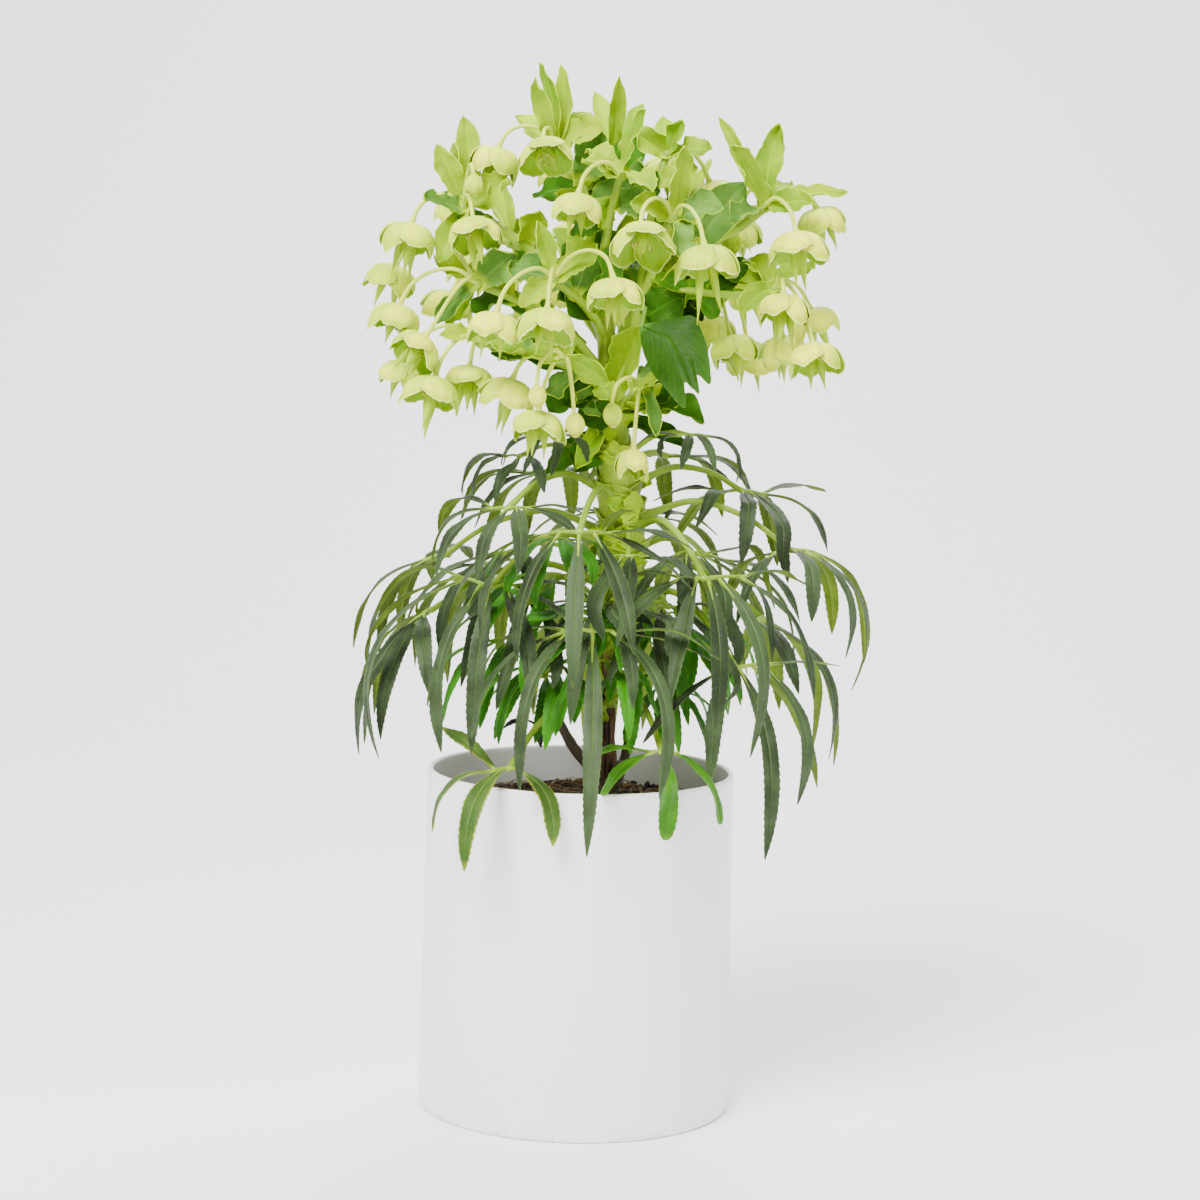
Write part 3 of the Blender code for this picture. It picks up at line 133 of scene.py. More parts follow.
SPRAYS = {
    "top_left": spray_row("up", (-24, -6, 563), [
        (-58, -10, 553, 190, 12, 1.0), (-29, -34, 556, -70, 55, 0.95), (-21, 30, 547, 100, 20, 0.9)], [
        ((-24, -8, 566), (-33, -10, 609), 9), ((-20, -2, 566), (-22, 0, 609), 10),
        ((-28, -12, 562), (-36, -26, 599), 11), ((-18, -4, 562), (3, -22, 575), 15),
        ((-26, 2, 560), (-48, 18, 580), 13), ((-20, 4, 562), (-4, 20, 584), 14)]),
    "front_top": spray_row("front_up", (14, -34, 545), [
        (-10, -62, 526, -110, 10, 0.95)], [
        ((15, -35, 547), (27, -44, 582), 12), ((11, -33, 546), (-6, -26, 560), 14),
        ((16, -34, 544), (32, -62, 536), 14), ((10, -34, 544), (-8, -46, 552), 12)]),
    "left": spray_row("left", (-76, -6, 526), [
        (-106, -22, 508, -160, 10, 1.05), (-68, -36, 511, -70, 22, 1.0)], [
        ((-78, -6, 527), (-92, -12, 561), 14), ((-76, -2, 528), (-82, 14, 564), 17),
        ((-72, -2, 530), (-78, 8, 579), 14), ((-76, -12, 522), (-98, -22, 531), 13),
        ((-68, -8, 526), (-48, -24, 540), 16), ((-78, -14, 518), (-88, -26, 494), 13)],
        [(-69, -28, 538, 0.9)]),
    "left_mid": spray_row("left_low", (-66, -24, 482), [
        (-118, 14, 485, 165, 16, 0.95), (-112, -27, 462, -160, 14, 1.0), (-98, -52, 445, -140, 40, 0.95)], [
        ((-68, -24, 482), (-84, -20, 458), 8), ((-68, -28, 480), (-90, -34, 459), 9),
        ((-62, -26, 484), (-44, -40, 500), 17), ((-70, -18, 482), (-92, -4, 498), 12)]),
    "left_foot": spray_row("left_foot", (-63, -34, 449), [
        (-108, -12, 430, 170, 12, 0.9), (-89, -54, 422, -130, 15, 1.0), (-70, -24, 428, -100, 14, 0.95)], [
        ((-60, -36, 450), (-86, -46, 453), 9), ((-60, -30, 448), (-52, -6, 440), 14),
        ((-58, -36, 450), (-38, -52, 446), 12)]),
    "front_left": spray_row("front", (-22, -50, 486), [
        (-54, -76, 459, -130, 10, 1.0), (-25, -88, 461, -100, 16, 1.05), (12, -92, 479, -75, 14, 1.0)], [
        ((-24, -50, 487), (-32, -58, 518), 11), ((-18, -50, 487), (2, -56, 506), 19),
        ((-26, -48, 484), (-48, -44, 492), 18), ((-24, -52, 484), (-40, -62, 470), 12)]),
    "front_low": spray_row("front_low", (-15, -54, 441), [
        (-46, -45, 422, 160, 14, 0.95), (-29, -68, 405, -110, 12, 0.95)], [
        ((-16, -54, 442), (-38, -62, 443), 11), ((-14, -54, 443), (-14, -62, 462), 11),
        ((-12, -52, 441), (10, -56, 428), 11), ((-16, -52, 440), (-30, -40, 452), 9)],
        [(-29, -82, 421, 0.9), (-8, -64, 405, 1.0)]),
    "right_front": spray_row("right_front", (44, -40, 522), [
        (26, -86, 508, -80, 50, 1.05), (62, -78, 498, -50, 10, 1.1)], [
        ((45, -40, 524), (49, -54, 562), 15), ((48, -38, 522), (72, -46, 528), 17),
        ((40, -40, 522), (20, -48, 530), 15), ((46, -44, 520), (48, -60, 500), 14)]),
    "right": spray_row("right", (97, -10, 530), [
        (115, -37, 508, -60, 12, 1.05), (130, 2, 524, 20, 18, 0.95), (84, 34, 518, 110, 16, 0.95)], [
        ((99, -10, 532), (104, -12, 578), 16), ((96, -12, 532), (76, -32, 564), 14),
        ((94, -6, 532), (70, 8, 582), 9), ((102, -8, 531), (145, -4, 540), 9),
        ((92, -16, 528), (78, -34, 520), 14), ((100, -4, 530), (112, 22, 546), 14),
        ((100, -14, 530), (124, -26, 534), 12)]),
    "right_top": spray_row("right_top", (41, 7, 560), [
        (40, 34, 552, 80, 24, 0.9), (68, 18, 538, 30, 18, 0.95)], [
        ((42, 6, 561), (49, -2, 579), 10), ((40, 8, 561), (38, 16, 582), 13),
        ((44, 6, 559), (66, -8, 563), 13), ((38, 5, 559), (20, -4, 572), 12)]),
    "right_low": spray_row("right_low", (105, -14, 484), [
        (108, -40, 473, -90, 12, 1.0), (128, -6, 466, 10, 18, 0.95), (126, -46, 446, -60, 16, 1.0),
        (112, 12, 449, 60, 16, 0.95)], [
        ((104, -12, 486), (128, -4, 497), 13), ((102, -12, 486), (90, 4, 502), 14),
        ((100, -16, 484), (84, -32, 470), 12)]),
    "right_back": spray_row("right_back", (70, 16, 484), [
        (70, 42, 460, 110, 16, 1.0), (93, 46, 444, 70, 16, 1.0), (82, 2, 449, -30, 16, 0.95)], [
        ((70, 16, 486), (62, 36, 500), 14), ((72, 14, 486), (92, 14, 498), 14)]),
    "foot": spray_row("foot", (29, -25, 426), [
        (25, -42, 383, -100, 10, 1.0)], [
        ((30, -26, 427), (49, -42, 434), 9), ((28, -26, 427), (24, -50, 424), 8),
        ((34, -30, 424), (38, -46, 399), 7), ((30, -22, 428), (44, -4, 440), 12)],
        [(13, -42, 410, 1.0)]),
    "back": spray_row("back", (-1, 64, 496), [
        (-26, 92, 480, 120, 14, 1.0), (12, 102, 468, 85, 16, 1.0), (34, 86, 500, 60, 14, 0.95),
        (-12, 94, 514, 110, 22, 0.9)], [
        ((0, 64, 498), (6, 74, 536), 14), ((-4, 64, 497), (-26, 70, 516), 14),
        ((2, 66, 496), (16, 92, 510), 13)]),
    "back_right": spray_row("back_right", (53, 52, 508), [
        (66, 84, 490, 60, 14, 1.0), (92, 72, 484, 30, 16, 1.0), (84, 78, 522, 40, 22, 0.9)], [
        ((54, 52, 510), (68, 62, 560), 14), ((56, 54, 508), (66, 82, 524), 14)]),
    "back_left": spray_row("back_left", (-50, 52, 507), [
        (-72, 72, 492, 140, 14, 1.0), (-86, 46, 470, 170, 16, 1.0), (-60, 20, 492, 180, 12, 0.9),
        (-48, 88, 456, 110, 16, 1.0), (-84, 66, 524, 150, 22, 0.9)], [
        ((-52, 52, 509), (-62, 66, 556), 14), ((-54, 50, 507), (-84, 52, 520), 14),
        ((-48, 54, 506), (-40, 80, 512), 13)]),
    "top_back": spray_row("top_back", (9, 24, 556), [
        (4, 50, 548, 100, 20, 0.95)], [
        ((10, 24, 558), (12, 10, 604), 10), ((8, 24, 558), (-2, 34, 596), 13),
        ((12, 24, 556), (26, 30, 590), 12)]),
}


def leaf_row(root, hub, left, right, leaflets, width=LEAFLET_WIDTH):
    """One leaf: height and azimuth of its root on the stem, hub, ends of the two side arms, and leaflets.

    leaflet: place on the arms from -1 to 1, azimuth, length, slope at the base and at the tip"""
    return dict(root=root, hub=hub, arms=(left, right), leaflets=leaflets, width=width)


LEAVES = {
    "front_high": leaf_row((362, -112), (-4, -76, 346), (-22, -68, 344), (12, -68, 345), [
        (0, -92, 92, -48, -86), (-0.6, -130, 82, -22, -112), (-1, -158, 78, 0, -108),
        (-1, 172, 80, 14, -98), (0.5, -62, 82, -30, -72), (1, -32, 66, -4, -48), (1, 8, 52, 24, -42),
        (0.8, -66, 46, 48, -6)]),
    "front_low": leaf_row((318, -104), (5, -78, 291), (-10, -72, 290), (20, -72, 290), [
        (0, -90, 136, -32, -90), (-0.8, -122, 112, 6, -118), (-1, -156, 88, 6, -94),
        (0.7, -56, 116, 8, -118), (1, -22, 66, 22, -44), (1, 6, 60, 4, -38), (-1, 166, 64, 34, -84)]),
    "right_front": leaf_row((346, -48), (67, -58, 320), (54, -56, 320), (90, -50, 321), [
        (0.1, -78, 96, -24, -118), (-0.3, -108, 78, -34, -76), (-0.8, -142, 66, -4, -72),
        (-1, 176, 56, 38, -78), (-1, -166, 52, -18, -46), (0.35, -58, 118, -6, -124),
        (0.9, -32, 88, -6, -96), (1, 18, 46, 36, -52)]),
    "left_front": leaf_row((336, -150), (-54, -48, 311), (-72, -42, 316), (-40, -44, 312), [
        (0, -104, 102, -28, -112), (-0.3, -128, 108, -18, -120), (-0.8, -164, 132, 4, -124),
        (-1, 172, 88, 4, -94), (-1, 150, 74, 40, -82), (1, -12, 52, 26, -44), (1, -42, 64, -14, -36),
        (0.6, -72, 92, -20, -72)]),
    "left_high": leaf_row((368, -160), (-45, -46, 356), (-54, -40, 355), (-34, -42, 356), [
        (-1, 178, 52, 24, -98), (-1, 136, 56, 50, -80), (-0.5, -152, 60, 8, -92), (0, -118, 56, -8, -90),
        (1, -18, 46, 30, -44), (0.9, -46, 44, 6, -30), (0.4, -82, 62, 4, -80)]),
    "right_low": leaf_row((304, -22), (87, -46, 268), (78, -46, 266), (106, -40, 270), [
        (1, 2, 42, 14, -14), (0.1, -70, 124, -10, -116), (0.8, -34, 92, -12, -124),
        (-0.5, -108, 74, -22, -104), (0.5, 32, 92, -26, -86), (-1, -148, 66, -14, -62)]),
    "right_far": leaf_row((352, -14), (118, -20, 334), (110, -14, 332), (132, -14, 333), [
        (0, -70, 60, 24, -112), (0.6, -34, 76, 0, -120), (1, -2, 95, -10, -128), (0.5, 58, 72, 0, -100),
        (1, 38, 90, 4, -112), (-1, -128, 58, 2, -90), (-1, 128, 66, 10, -96)]),
    "right_high": leaf_row((372, 14), (90, 8, 366), (80, 10, 365), (102, 14, 364), [
        (1, -8, 58, 20, -92), (-0.5, -124, 52, 4, -64), (0.3, -56, 76, 4, -106), (0, -88, 64, 12, -104),
        (1, 34, 50, 30, -28), (-1, -164, 46, 26, -40), (0.8, 70, 72, 10, -96), (-1, 120, 66, 16, -92)]),
    "right_back_high": leaf_row((380, 50), (46, 30, 384), (36, 34, 384), (56, 30, 384), [
        (0, -30, 50, 20, -66), (0.8, -4, 58, 24, -72), (1, 26, 64, 28, -84), (1, 58, 70, 22, -92),
        (-1, 116, 66, 22, -92), (-1, 150, 54, 26, -70), (-0.4, 88, 74, 12, -96)]),
    "left_back_high": leaf_row((378, 140), (-26, 32, 372), (-36, 28, 372), (-16, 38, 372), [
        (-1, -178, 58, 30, -96), (-1, 152, 62, 34, -92), (-0.5, -150, 56, 10, -84), (0, 140, 72, 12, -96),
        (1, 84, 60, 26, -84), (0.6, 112, 68, 12, -94), (1, 58, 52, 30, -66)]),
    "left_back": leaf_row((342, 168), (-85, 20, 322), (-92, 14, 321), (-82, 30, 321), [
        (-1, 176, 78, 4, -100), (-1, -154, 76, -4, -104), (0.8, 104, 62, 30, -72), (0.2, 152, 84, 0, -104),
        (1, 76, 52, 36, -48), (0.6, 128, 80, 10, -100)]),
    "left_low": leaf_row((312, -168), (-90, -4, 292), (-94, -14, 291), (-90, 8, 292), [
        (-0.6, -118, 92, -6, -98), (0.4, 176, 74, -4, -100), (-1, -146, 100, -2, -116),
        (1, 144, 88, -4, -106), (0, -160, 92, -20, -104), (-1, -82, 66, 6, -84)]),
    "right_back_low": leaf_row((316, 22), (104, 20, 290), (102, 10, 289), (108, 32, 288), [
        (-0.6, -16, 104, 2, -116), (0.2, 14, 112, -6, -112), (-1, -62, 62, 6, -84),
        (0.6, 40, 104, -4, -114), (1, 74, 84, 4, -104), (1, 106, 66, 12, -86)]),
    "rim_left": leaf_row((238, -128), (-40, -74, 211), (-48, -75, 210), (-33, -76, 210), [
        (-0.4, -116, 76, 12, -104), (1, -58, 56, 6, -92), (-1, -160, 56, 20, -98),
        (-1, 146, 44, 34, 22)], 12.5),
    "rim_right": leaf_row((246, -62), (46, -70, 222), (40, -70, 222), (53, -69, 222), [
        (0, -86, 62, 2, -96), (1, -36, 56, 14, -104), (-0.8, -140, 44, -2, -58),
        (-1, 174, 38, 22, -34)], 11.0),
    "young_left": leaf_row((296, -152), (-16, -24, 316), (-22, -22, 316), (-9, -26, 316), [
        (-1, 176, 62, 26, -92), (-0.6, -150, 78, 4, -100), (0, -112, 84, -10, -94), (0.6, -74, 70, -4, -92),
        (1, 100, 46, 50, 10)], 9.0),
    "young_right": leaf_row((282, -34), (44, -20, 292), (37, -22, 292), (51, -16, 292), [
        (-1, -128, 62, -8, -94), (0, -64, 72, -10, -98), (0.6, -28, 74, 6, -104),
        (1, 12, 60, 18, -92)], 9.0),
    "back_low": leaf_row((306, 96), (10, 84, 292), (-2, 84, 291), (22, 82, 291), [
        (-0.2, 98, 118, -4, -112), (-0.8, 130, 104, 4, -112), (0.6, 66, 112, 0, -114),
        (1, 36, 84, 14, -100), (-1, 162, 76, 18, -92), (0.2, 82, 108, -16, -96)]),
    "back_high": leaf_row((356, 84), (24, 84, 346), (12, 86, 345), (36, 80, 345), [
        (0, 84, 100, 0, -104), (-0.6, 116, 96, 8, -106), (0.6, 52, 96, 8, -106), (1, 22, 76, 20, -92),
        (-1, 150, 72, 22, -92), (-1, -174, 52, 30, -60), (1, -14, 50, 30, -56)]),
    "back_left": leaf_row((326, 132), (-52, 66, 316), (-60, 58, 315), (-42, 74, 315), [
        (0, 130, 106, -2, -108), (-0.7, 160, 92, 6, -106), (0.7, 100, 96, 6, -108), (1, 70, 76, 16, -94),
        (-1, -168, 68, 16, -86)]),
    "back_right": leaf_row((330, 48), (72, 64, 322), (62, 72, 321), (82, 54, 321), [
        (0, 44, 108, -2, -108), (-0.7, 76, 96, 6, -108), (0.7, 14, 96, 4, -108), (1, -14, 66, 16, -84),
        (-1, 108, 76, 16, -94)]),
}

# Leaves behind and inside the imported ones: young ones round the stem, short curled ones under the head,
# full-grown ones inside the collar and one dry curled one
MORE_LEAVES = {
    "young_front": leaf_row((300, -120), (2, -40, 304), (-4, -38, 304), (8, -40, 304), [
        (0, -96, 52, -10, -92), (-1, -150, 50, 10, -88), (-0.6, -122, 56, 4, -96), (0.6, -62, 54, 4, -96),
        (1, -26, 48, 12, -84)], 9.5),
    "young_high": leaf_row((330, -128), (-18, -30, 338), (-24, -28, 338), (-12, -32, 338), [
        (-1, -170, 46, 20, -84), (-0.5, -136, 54, 6, -92), (0, -104, 56, 0, -94), (1, -60, 50, 10, -92),
        (1, -20, 40, 20, -64)], 9.0),
    "young_back": leaf_row((300, 150), (-28, 22, 312), (-36, 18, 312), (-20, 26, 312), [
        (-1, -176, 62, 20, -96), (-0.6, -146, 64, 8, -98), (0, 150, 66, 10, -98), (0.6, 120, 60, 10, -96),
        (1, 90, 52, 20, -88)], 9.0),
    "young_low": leaf_row((276, 10), (50, 2, 284), (44, 4, 284), (56, 0, 284), [
        (-1, -120, 54, 4, -96), (-0.4, -80, 60, 0, -98), (0.4, -30, 66, 6, -104), (1, 14, 64, 10, -98),
        (1, 60, 50, 16, -84)], 9.0),
    "young_soil": leaf_row((262, -160), (-24, -14, 256), (-30, -12, 256), (-18, -16, 256), [
        (-1, 174, 44, 10, -92), (-0.5, -140, 50, -4, -92), (0.4, -100, 48, -10, -90),
        (1, -60, 42, 4, -88)], 10.0),
    "young_foot": leaf_row((258, -20), (48, -12, 250), (42, -14, 250), (54, -10, 250), [
        (-1, -130, 42, 0, -88), (-0.3, -84, 46, -6, -90), (0.5, -40, 48, 0, -92),
        (1, 6, 42, 8, -88)], 10.0),
    "inner_left": leaf_row((322, 176), (-48, 4, 326), (-56, 0, 326), (-40, 8, 326), [
        (-1, -168, 76, 6, -104), (-0.5, -136, 80, -2, -104), (0.2, -108, 74, -8, -96),
        (0.8, -70, 58, 4, -88), (1, 120, 60, 20, -88)]),
    "inner_right": leaf_row((334, 0), (62, -6, 330), (54, -8, 330), (70, -4, 330), [
        (-1, -132, 70, 0, -96), (-0.4, -96, 84, -6, -104), (0.3, -60, 90, -4, -110),
        (0.8, -20, 84, 4, -108), (1, 20, 72, 14, -98)]),
    "inner_front": leaf_row((340, -80), (24, -42, 330), (16, -42, 330), (32, -42, 330), [
        (-1, -140, 56, 10, -90), (-0.4, -106, 70, -12, -98), (0.3, -74, 78, -14, -102),
        (0.9, -40, 72, 0, -100), (1, 0, 60, 16, -88)]),
    "top_right": leaf_row((390, -24), (58, -22, 399), (52, -24, 399), (66, -18, 399), [
        (1, 10, 42, 30, -120), (1, -30, 40, 24, -104), (0.4, -64, 36, 20, -88), (-0.2, -100, 34, 16, -84),
        (-1, -140, 30, 20, -70), (-1, 170, 30, 30, -60)], 7.5),
    "top_left": leaf_row((392, -150), (-20, -20, 398), (-27, -18, 398), (-14, -22, 398), [
        (-1, 170, 38, 30, -104), (-1, -160, 34, 10, -96), (-0.4, -128, 36, 6, -92), (0.3, -98, 34, 0, -92),
        (1, -50, 28, 12, -80)], 7.5),
    "top_side": leaf_row((384, -172), (-40, -14, 384), (-47, -12, 384), (-33, -16, 384), [
        (-1, -176, 44, 40, -110), (-1, -150, 40, 24, -100), (0, -120, 40, 6, -92), (1, -70, 34, 12, -84),
        (-1, 150, 46, 34, -96)], 8.5),
    "young_mid_left": leaf_row((292, -176), (-44, -2, 276), (-52, -5, 276), (-36, 0, 276), [
        (-1, -176, 62, 10, -96), (-0.6, -146, 68, 0, -98), (0.1, -114, 66, -4, -96), (1, -80, 58, 4, -90),
        (1, 110, 48, 10, -90)], 9.5),
    "young_mid_right": leaf_row((296, 4), (56, 14, 292), (48, 12, 292), (64, 15, 292), [
        (-1, -120, 66, 4, -94), (-0.4, -84, 72, 0, -98), (0.4, -44, 72, 2, -98), (1, 4, 64, 8, -96),
        (1, 54, 50, 14, -90)], 9.5),
    "young_mid_front": leaf_row((284, -96), (8, -46, 270), (0, -45, 270), (16, -45, 270), [
        (-1, -166, 52, 8, -90), (-0.5, -122, 58, -2, -94), (0.5, -64, 58, -2, -94),
        (1, -16, 52, 8, -90)], 9.0),
    "inner_mid_left": leaf_row((312, -150), (-34, -28, 300), (-42, -28, 300), (-26, -30, 300), [
        (-1, -172, 66, 12, -96), (-0.5, -140, 72, 0, -100), (0.2, -112, 74, -4, -100),
        (1, -70, 60, 4, -92)]),
    "inner_mid_right": leaf_row((306, -30), (48, -30, 300), (40, -32, 300), (56, -28, 300), [
        (-1, -124, 62, 0, -96), (-0.3, -84, 74, -4, -100), (0.5, -44, 76, -2, -104), (1, -6, 64, 8, -98)]),
    "inner_mid_back": leaf_row((304, 92), (14, 42, 298), (5, 43, 298), (23, 41, 298), [
        (-1, 170, 66, 8, -96), (-0.5, 138, 78, 4, -102), (0.2, 96, 78, 2, -104), (1, 50, 74, 6, -100),
        (1, 14, 62, 12, -92)]),
    "young_core_left": leaf_row((288, -134), (-20, -38, 266), (-28, -37, 266), (-12, -39, 266), [
        (-1, -170, 54, 8, -94), (-0.5, -132, 60, -2, -98), (0.4, -96, 60, -4, -98),
        (1, -50, 52, 6, -92)], 9.5),
    "young_core_right": leaf_row((280, -40), (34, -34, 262), (26, -36, 262), (42, -32, 262), [
        (-1, -136, 52, 6, -94), (-0.4, -96, 58, -2, -98), (0.4, -56, 58, -2, -98),
        (1, -10, 52, 8, -94)], 9.5),
    "inner_core": leaf_row((320, -84), (12, -50, 304), (4, -50, 304), (20, -50, 304), [
        (-1, -150, 70, 4, -96), (-0.4, -110, 82, -8, -100), (0.4, -72, 84, -8, -102),
        (1, -34, 72, 2, -98)], 10.0),
    "dry_curl": leaf_row((244, 178), (-22, -6, 227), (-27, -7, 227), (-17, -6, 227), [
        (-1, -160, 24, 50, -60), (0.4, -104, 20, -10, -70)], 6.0),
}

# Old cut stems at the soil: points and the radius at each end
STUBS = [
    ([(15, 0, 186), (6, -6, 200), (-6, -10, 216), (-18, -13, 238)], 3.4, 2.8),
    ([(15, 0, 184), (21, -8, 194), (24, -12, 206)], 4.0, 3.2),
    ([(15, 0, 184), (8, 8, 198), (4, 13, 212)], 4.0, 3.0),
    ([(15, 0, 185), (24, 7, 200), (29, 12, 222)], 3.6, 2.6),
    ([(15, 0, 184), (9, -9, 190), (3, -13, 198)], 3.6, 2.8),
]

# Bells that stand out: mouth width over the usual, length of the styles over the bell's depth,
# turn of the sepals about the stalk and tip from straight down, in degrees, and width of the whole bell
SPECIAL_BELLS = {
    ("right_front", 0): dict(mouth=1.16, styles=0.9, turn=24, tip=29),
    ("right_front", 1): dict(mouth=1.08, styles=2.3, turn=62),
    ("right", 0): dict(mouth=1.16, styles=1.8, turn=58),
    ("top_left", 1): dict(mouth=1.12, styles=1.0, turn=24, tip=31),
    ("front_left", 1): dict(mouth=1.12, styles=1.35, turn=20),
    ("left_foot", 1): dict(mouth=1.16, styles=2.0, turn=24),
    ("front_low", 0): dict(mouth=1.16, styles=1.9, turn=24),
    ("foot", 0): dict(mouth=0.86, styles=0.9, turn=24, tip=16, slim=0.68),
}

# Bracts inside the head: what they grow from (a branch and the share along it, or a point on the trunk),
# tip, width, kind and how deep they are cupped
INNER_BRACTS = [
    ("up", 0.9, (-36, 8, 533), 16, "dark", 0.4), ("up", 0.45, (14, -16, 516), 18, "dark", 0.4),
    ("up", 0.95, (2, -16, 572), 22, "grey", 0.4), ("up", 0.7, (-22, -16, 536), 17, "lime", 0.4),
    ("front", 0.5, (10, -20, 505), 26, "dark", 0.3), ("front", 0.3, (-24, -20, 488), 24, "dark", 0.3),
    ("front", 0.8, (-2, -40, 503), 17, "grey", 0.4), ("left", 0.5, (-54, -6, 488), 17, "dark", 0.4),
    ("left", 0.75, (-32, -16, 525), 18, "lime", 0.4), ("left", 0.35, (-16, -14, 508), 18, "grey", 0.4),
    ("left_low", 0.9, (-70, -8, 466), 18, "dark", 0.4), ("left_low", 0.3, (-54, -14, 480), 20, "dark", 0.3),
    ("left_low", 0.6, (-30, -28, 450), 14, "dark", 0.4),
    ("left_foot", 0.4, (-58, -16, 443), 20, "dark", 0.4),
    ("left_foot", 0.15, (-24, -14, 410), 22, "dark", 0.3),
    ("left_foot", 0.5, (-22, -32, 456), 14, "lime", 0.4),
    ("front_low", 0.45, (12, -30, 418), 14, "lime", 0.5), ("right", 0.42, (53, -18, 480), 25, "dark", 0.25),
    ("right", 0.75, (86, -12, 545), 24, "grey", 0.4), ("right", 0.72, (94, -2, 484), 17, "dark", 0.4),
    ("right", 0.6, (60, -14, 524), 20, "lime", 0.4), ("right_top", 0.75, (24, -8, 556), 25, "grey", 0.4),
    ("right_top", 0.55, (52, -6, 536), 20, "dark", 0.4),
    ("right_top", 0.4, (20, -10, 526), 20, "lime", 0.4),
    ("right_low", 0.35, (72, -16, 467), 22, "dark", 0.7), ("right_low", 0.6, (98, 0, 494), 18, "dark", 0.4),
    ("right_front", 0.6, (60, -26, 512), 20, "grey", 0.4),
    ("right_front", 0.5, (20, -30, 516), 20, "grey", 0.4),
    ("front_up", 0.6, (-8, -24, 528), 20, "lime", 0.5), ("front_up", 0.8, (30, -24, 528), 20, "grey", 0.5),
    ("top_back", 0.7, (24, 6, 572), 22, "dark", 0.4), ("foot", 0.8, (66, -26, 407), 17, "dark", 0.6),
    ("foot", 0.5, (52, -24, 428), 16, "dark", 0.4), ((8, 0, 416), 0, (-13, -13, 447), 20, "dark", 0.4),
    ((12, -3, 415), 0, (27, -14, 461), 20, "lime", 0.9), ((11, 0, 398), 0, (-8, -16, 376), 22, "dark", 0.3),
    ((12, 0, 400), 0, (-26, -10, 370), 14, "dark", 0.4),
    ((10, -4, 402), 0, (-7, -20, 378), 13, "pale", 0.6),
    ((14, -3, 392), 0, (34, -16, 370), 12, "pale", 0.6), ((14, 0, 404), 0, (56, -18, 392), 12, "dark", 0.4),
    ((18, -6, 374), 0, (24, -20, 392), 14, "pale", 0.7),
    ((20, -8, 346), 0, (12, -22, 362), 12, "pale", 0.7),
]
BRACT_KINDS = {"lime": (0, 1, 0), "dark": (3, 4, 3), "grey": (5, 6, 5), "pale": (1, 1, 1)}
BRACT_THICKNESS = 0.5
TRUNK_BRACTS = 16
FILLERS_PER_BRANCH = 5
FILLER_TRIES = 25
# Random bracts keep this far from the middle of any bell, and their tips reach no further forward than this
BELL_ROOM = 21.0
FILLER_FRONT = -22.0

# Openings beside the trunk that stay clear of leafy bracts, seen from the front: x, height and radius
OPENINGS = [(-4.0, 457.0, 10.0), (17.0, 464.0, 8.0), (28.0, 434.0, 8.0)]

# Width of a leaflet along its length, and the places across it that carry its relief
LEAFLET_PLACES = (0.0, 0.05, 0.12, 0.22, 0.36, 0.5, 0.64, 0.78, 0.88, 0.95, 1.0)
LEAFLET_SHAPE = (0.18, 0.24, 0.44, 0.72, 0.95, 1.0, 0.95, 0.78, 0.54, 0.28, 0.04)
ROUNDED_SHAPE = (0.16, 0.20, 0.32, 0.48, 0.70, 0.90, 1.0, 1.0, 0.90, 0.70, 0.30)
ACROSS_FINE = (-1.0, -0.86, -0.55, -0.22, -0.09, 0.0, 0.09, 0.22, 0.55, 0.86, 1.0)
ACROSS_COARSE = (-1.0, -0.8, -0.4, -0.1, 0.0, 0.1, 0.4, 0.8, 1.0)

# Camera: place in metres, pitch below level and roll in degrees
CAMERA_PLACE = (0.0086, -1.693, 0.478)
CAMERA_PITCH = 6.0
CAMERA_ROLL = 1.51

# Seeds of the random draws
SEEDS = {"leaves": 500, "turns": 100, "sprays": 900, "inner bracts": 314, "lobed bract": 77, "stem": 41,
         "soil": 23}


def vec(*values):
    return np.array(values, dtype=float)


def unit(v):
    return v / max(np.linalg.norm(v), 1e-9)


def heading(azimuth):
    a = math.radians(azimuth)
    return vec(math.cos(a), math.sin(a), 0.0)


def bezier(p0, p1, p2, p3, steps):
    t = np.linspace(0.0, 1.0, steps + 1)[:, None]
    return ((1 - t) ** 3 * p0 + 3 * (1 - t) ** 2 * t * p1 + 3 * (1 - t) * t ** 2 * p2 + t ** 3 * p3)


def smooth_path(points, per_span=2):
    """Catmull-Rom curve through a few points."""
    p = np.asarray(points, dtype=float)
    p = np.vstack([2 * p[0] - p[1], p, 2 * p[-1] - p[-2]])
    out = []
    for i in range(1, len(p) - 2):
        for k in range(per_span):
            t = k / per_span
            out.append(0.5 * (2 * p[i] + (p[i + 1] - p[i - 1]) * t
                              + (2 * p[i - 1] - 5 * p[i] + 4 * p[i + 1] - p[i + 2]) * t * t
                              + (3 * p[i] - p[i - 1] - 3 * p[i + 1] + p[i + 2]) * t ** 3))
    out.append(p[-2])
    return np.array(out)


def frames(points, side):
    """Tangent, side and top direction at each point, the side carried along from the first."""
    points = np.asarray(points, dtype=float)
    out = []
    for i in range(len(points)):
        tangent = unit(points[min(i + 1, len(points) - 1)] - points[max(i - 1, 0)])
        side = unit(side - np.dot(side, tangent) * tangent)
        out.append((tangent, side, np.cross(side, tangent)))
    return out


def trunk_at(z, column):
    """One column of the trunk's levels at any height: 1 and 2 are x and y, 3 is the radius."""
    return np.interp(z, [row[0] for row in TRUNK], [row[column] for row in TRUNK])


def trunk_axis(z):
    return vec(trunk_at(z, 1), trunk_at(z, 2), z)


def trunk_radius(z):
    return float(trunk_at(z, 3))


def trunk_outline(z):
    """Radius of the trunk between its listed levels, without corners."""
    return np.mean([trunk_at(z + d, 3) for d in np.linspace(-3.0, 3.0, 7)], axis=0)


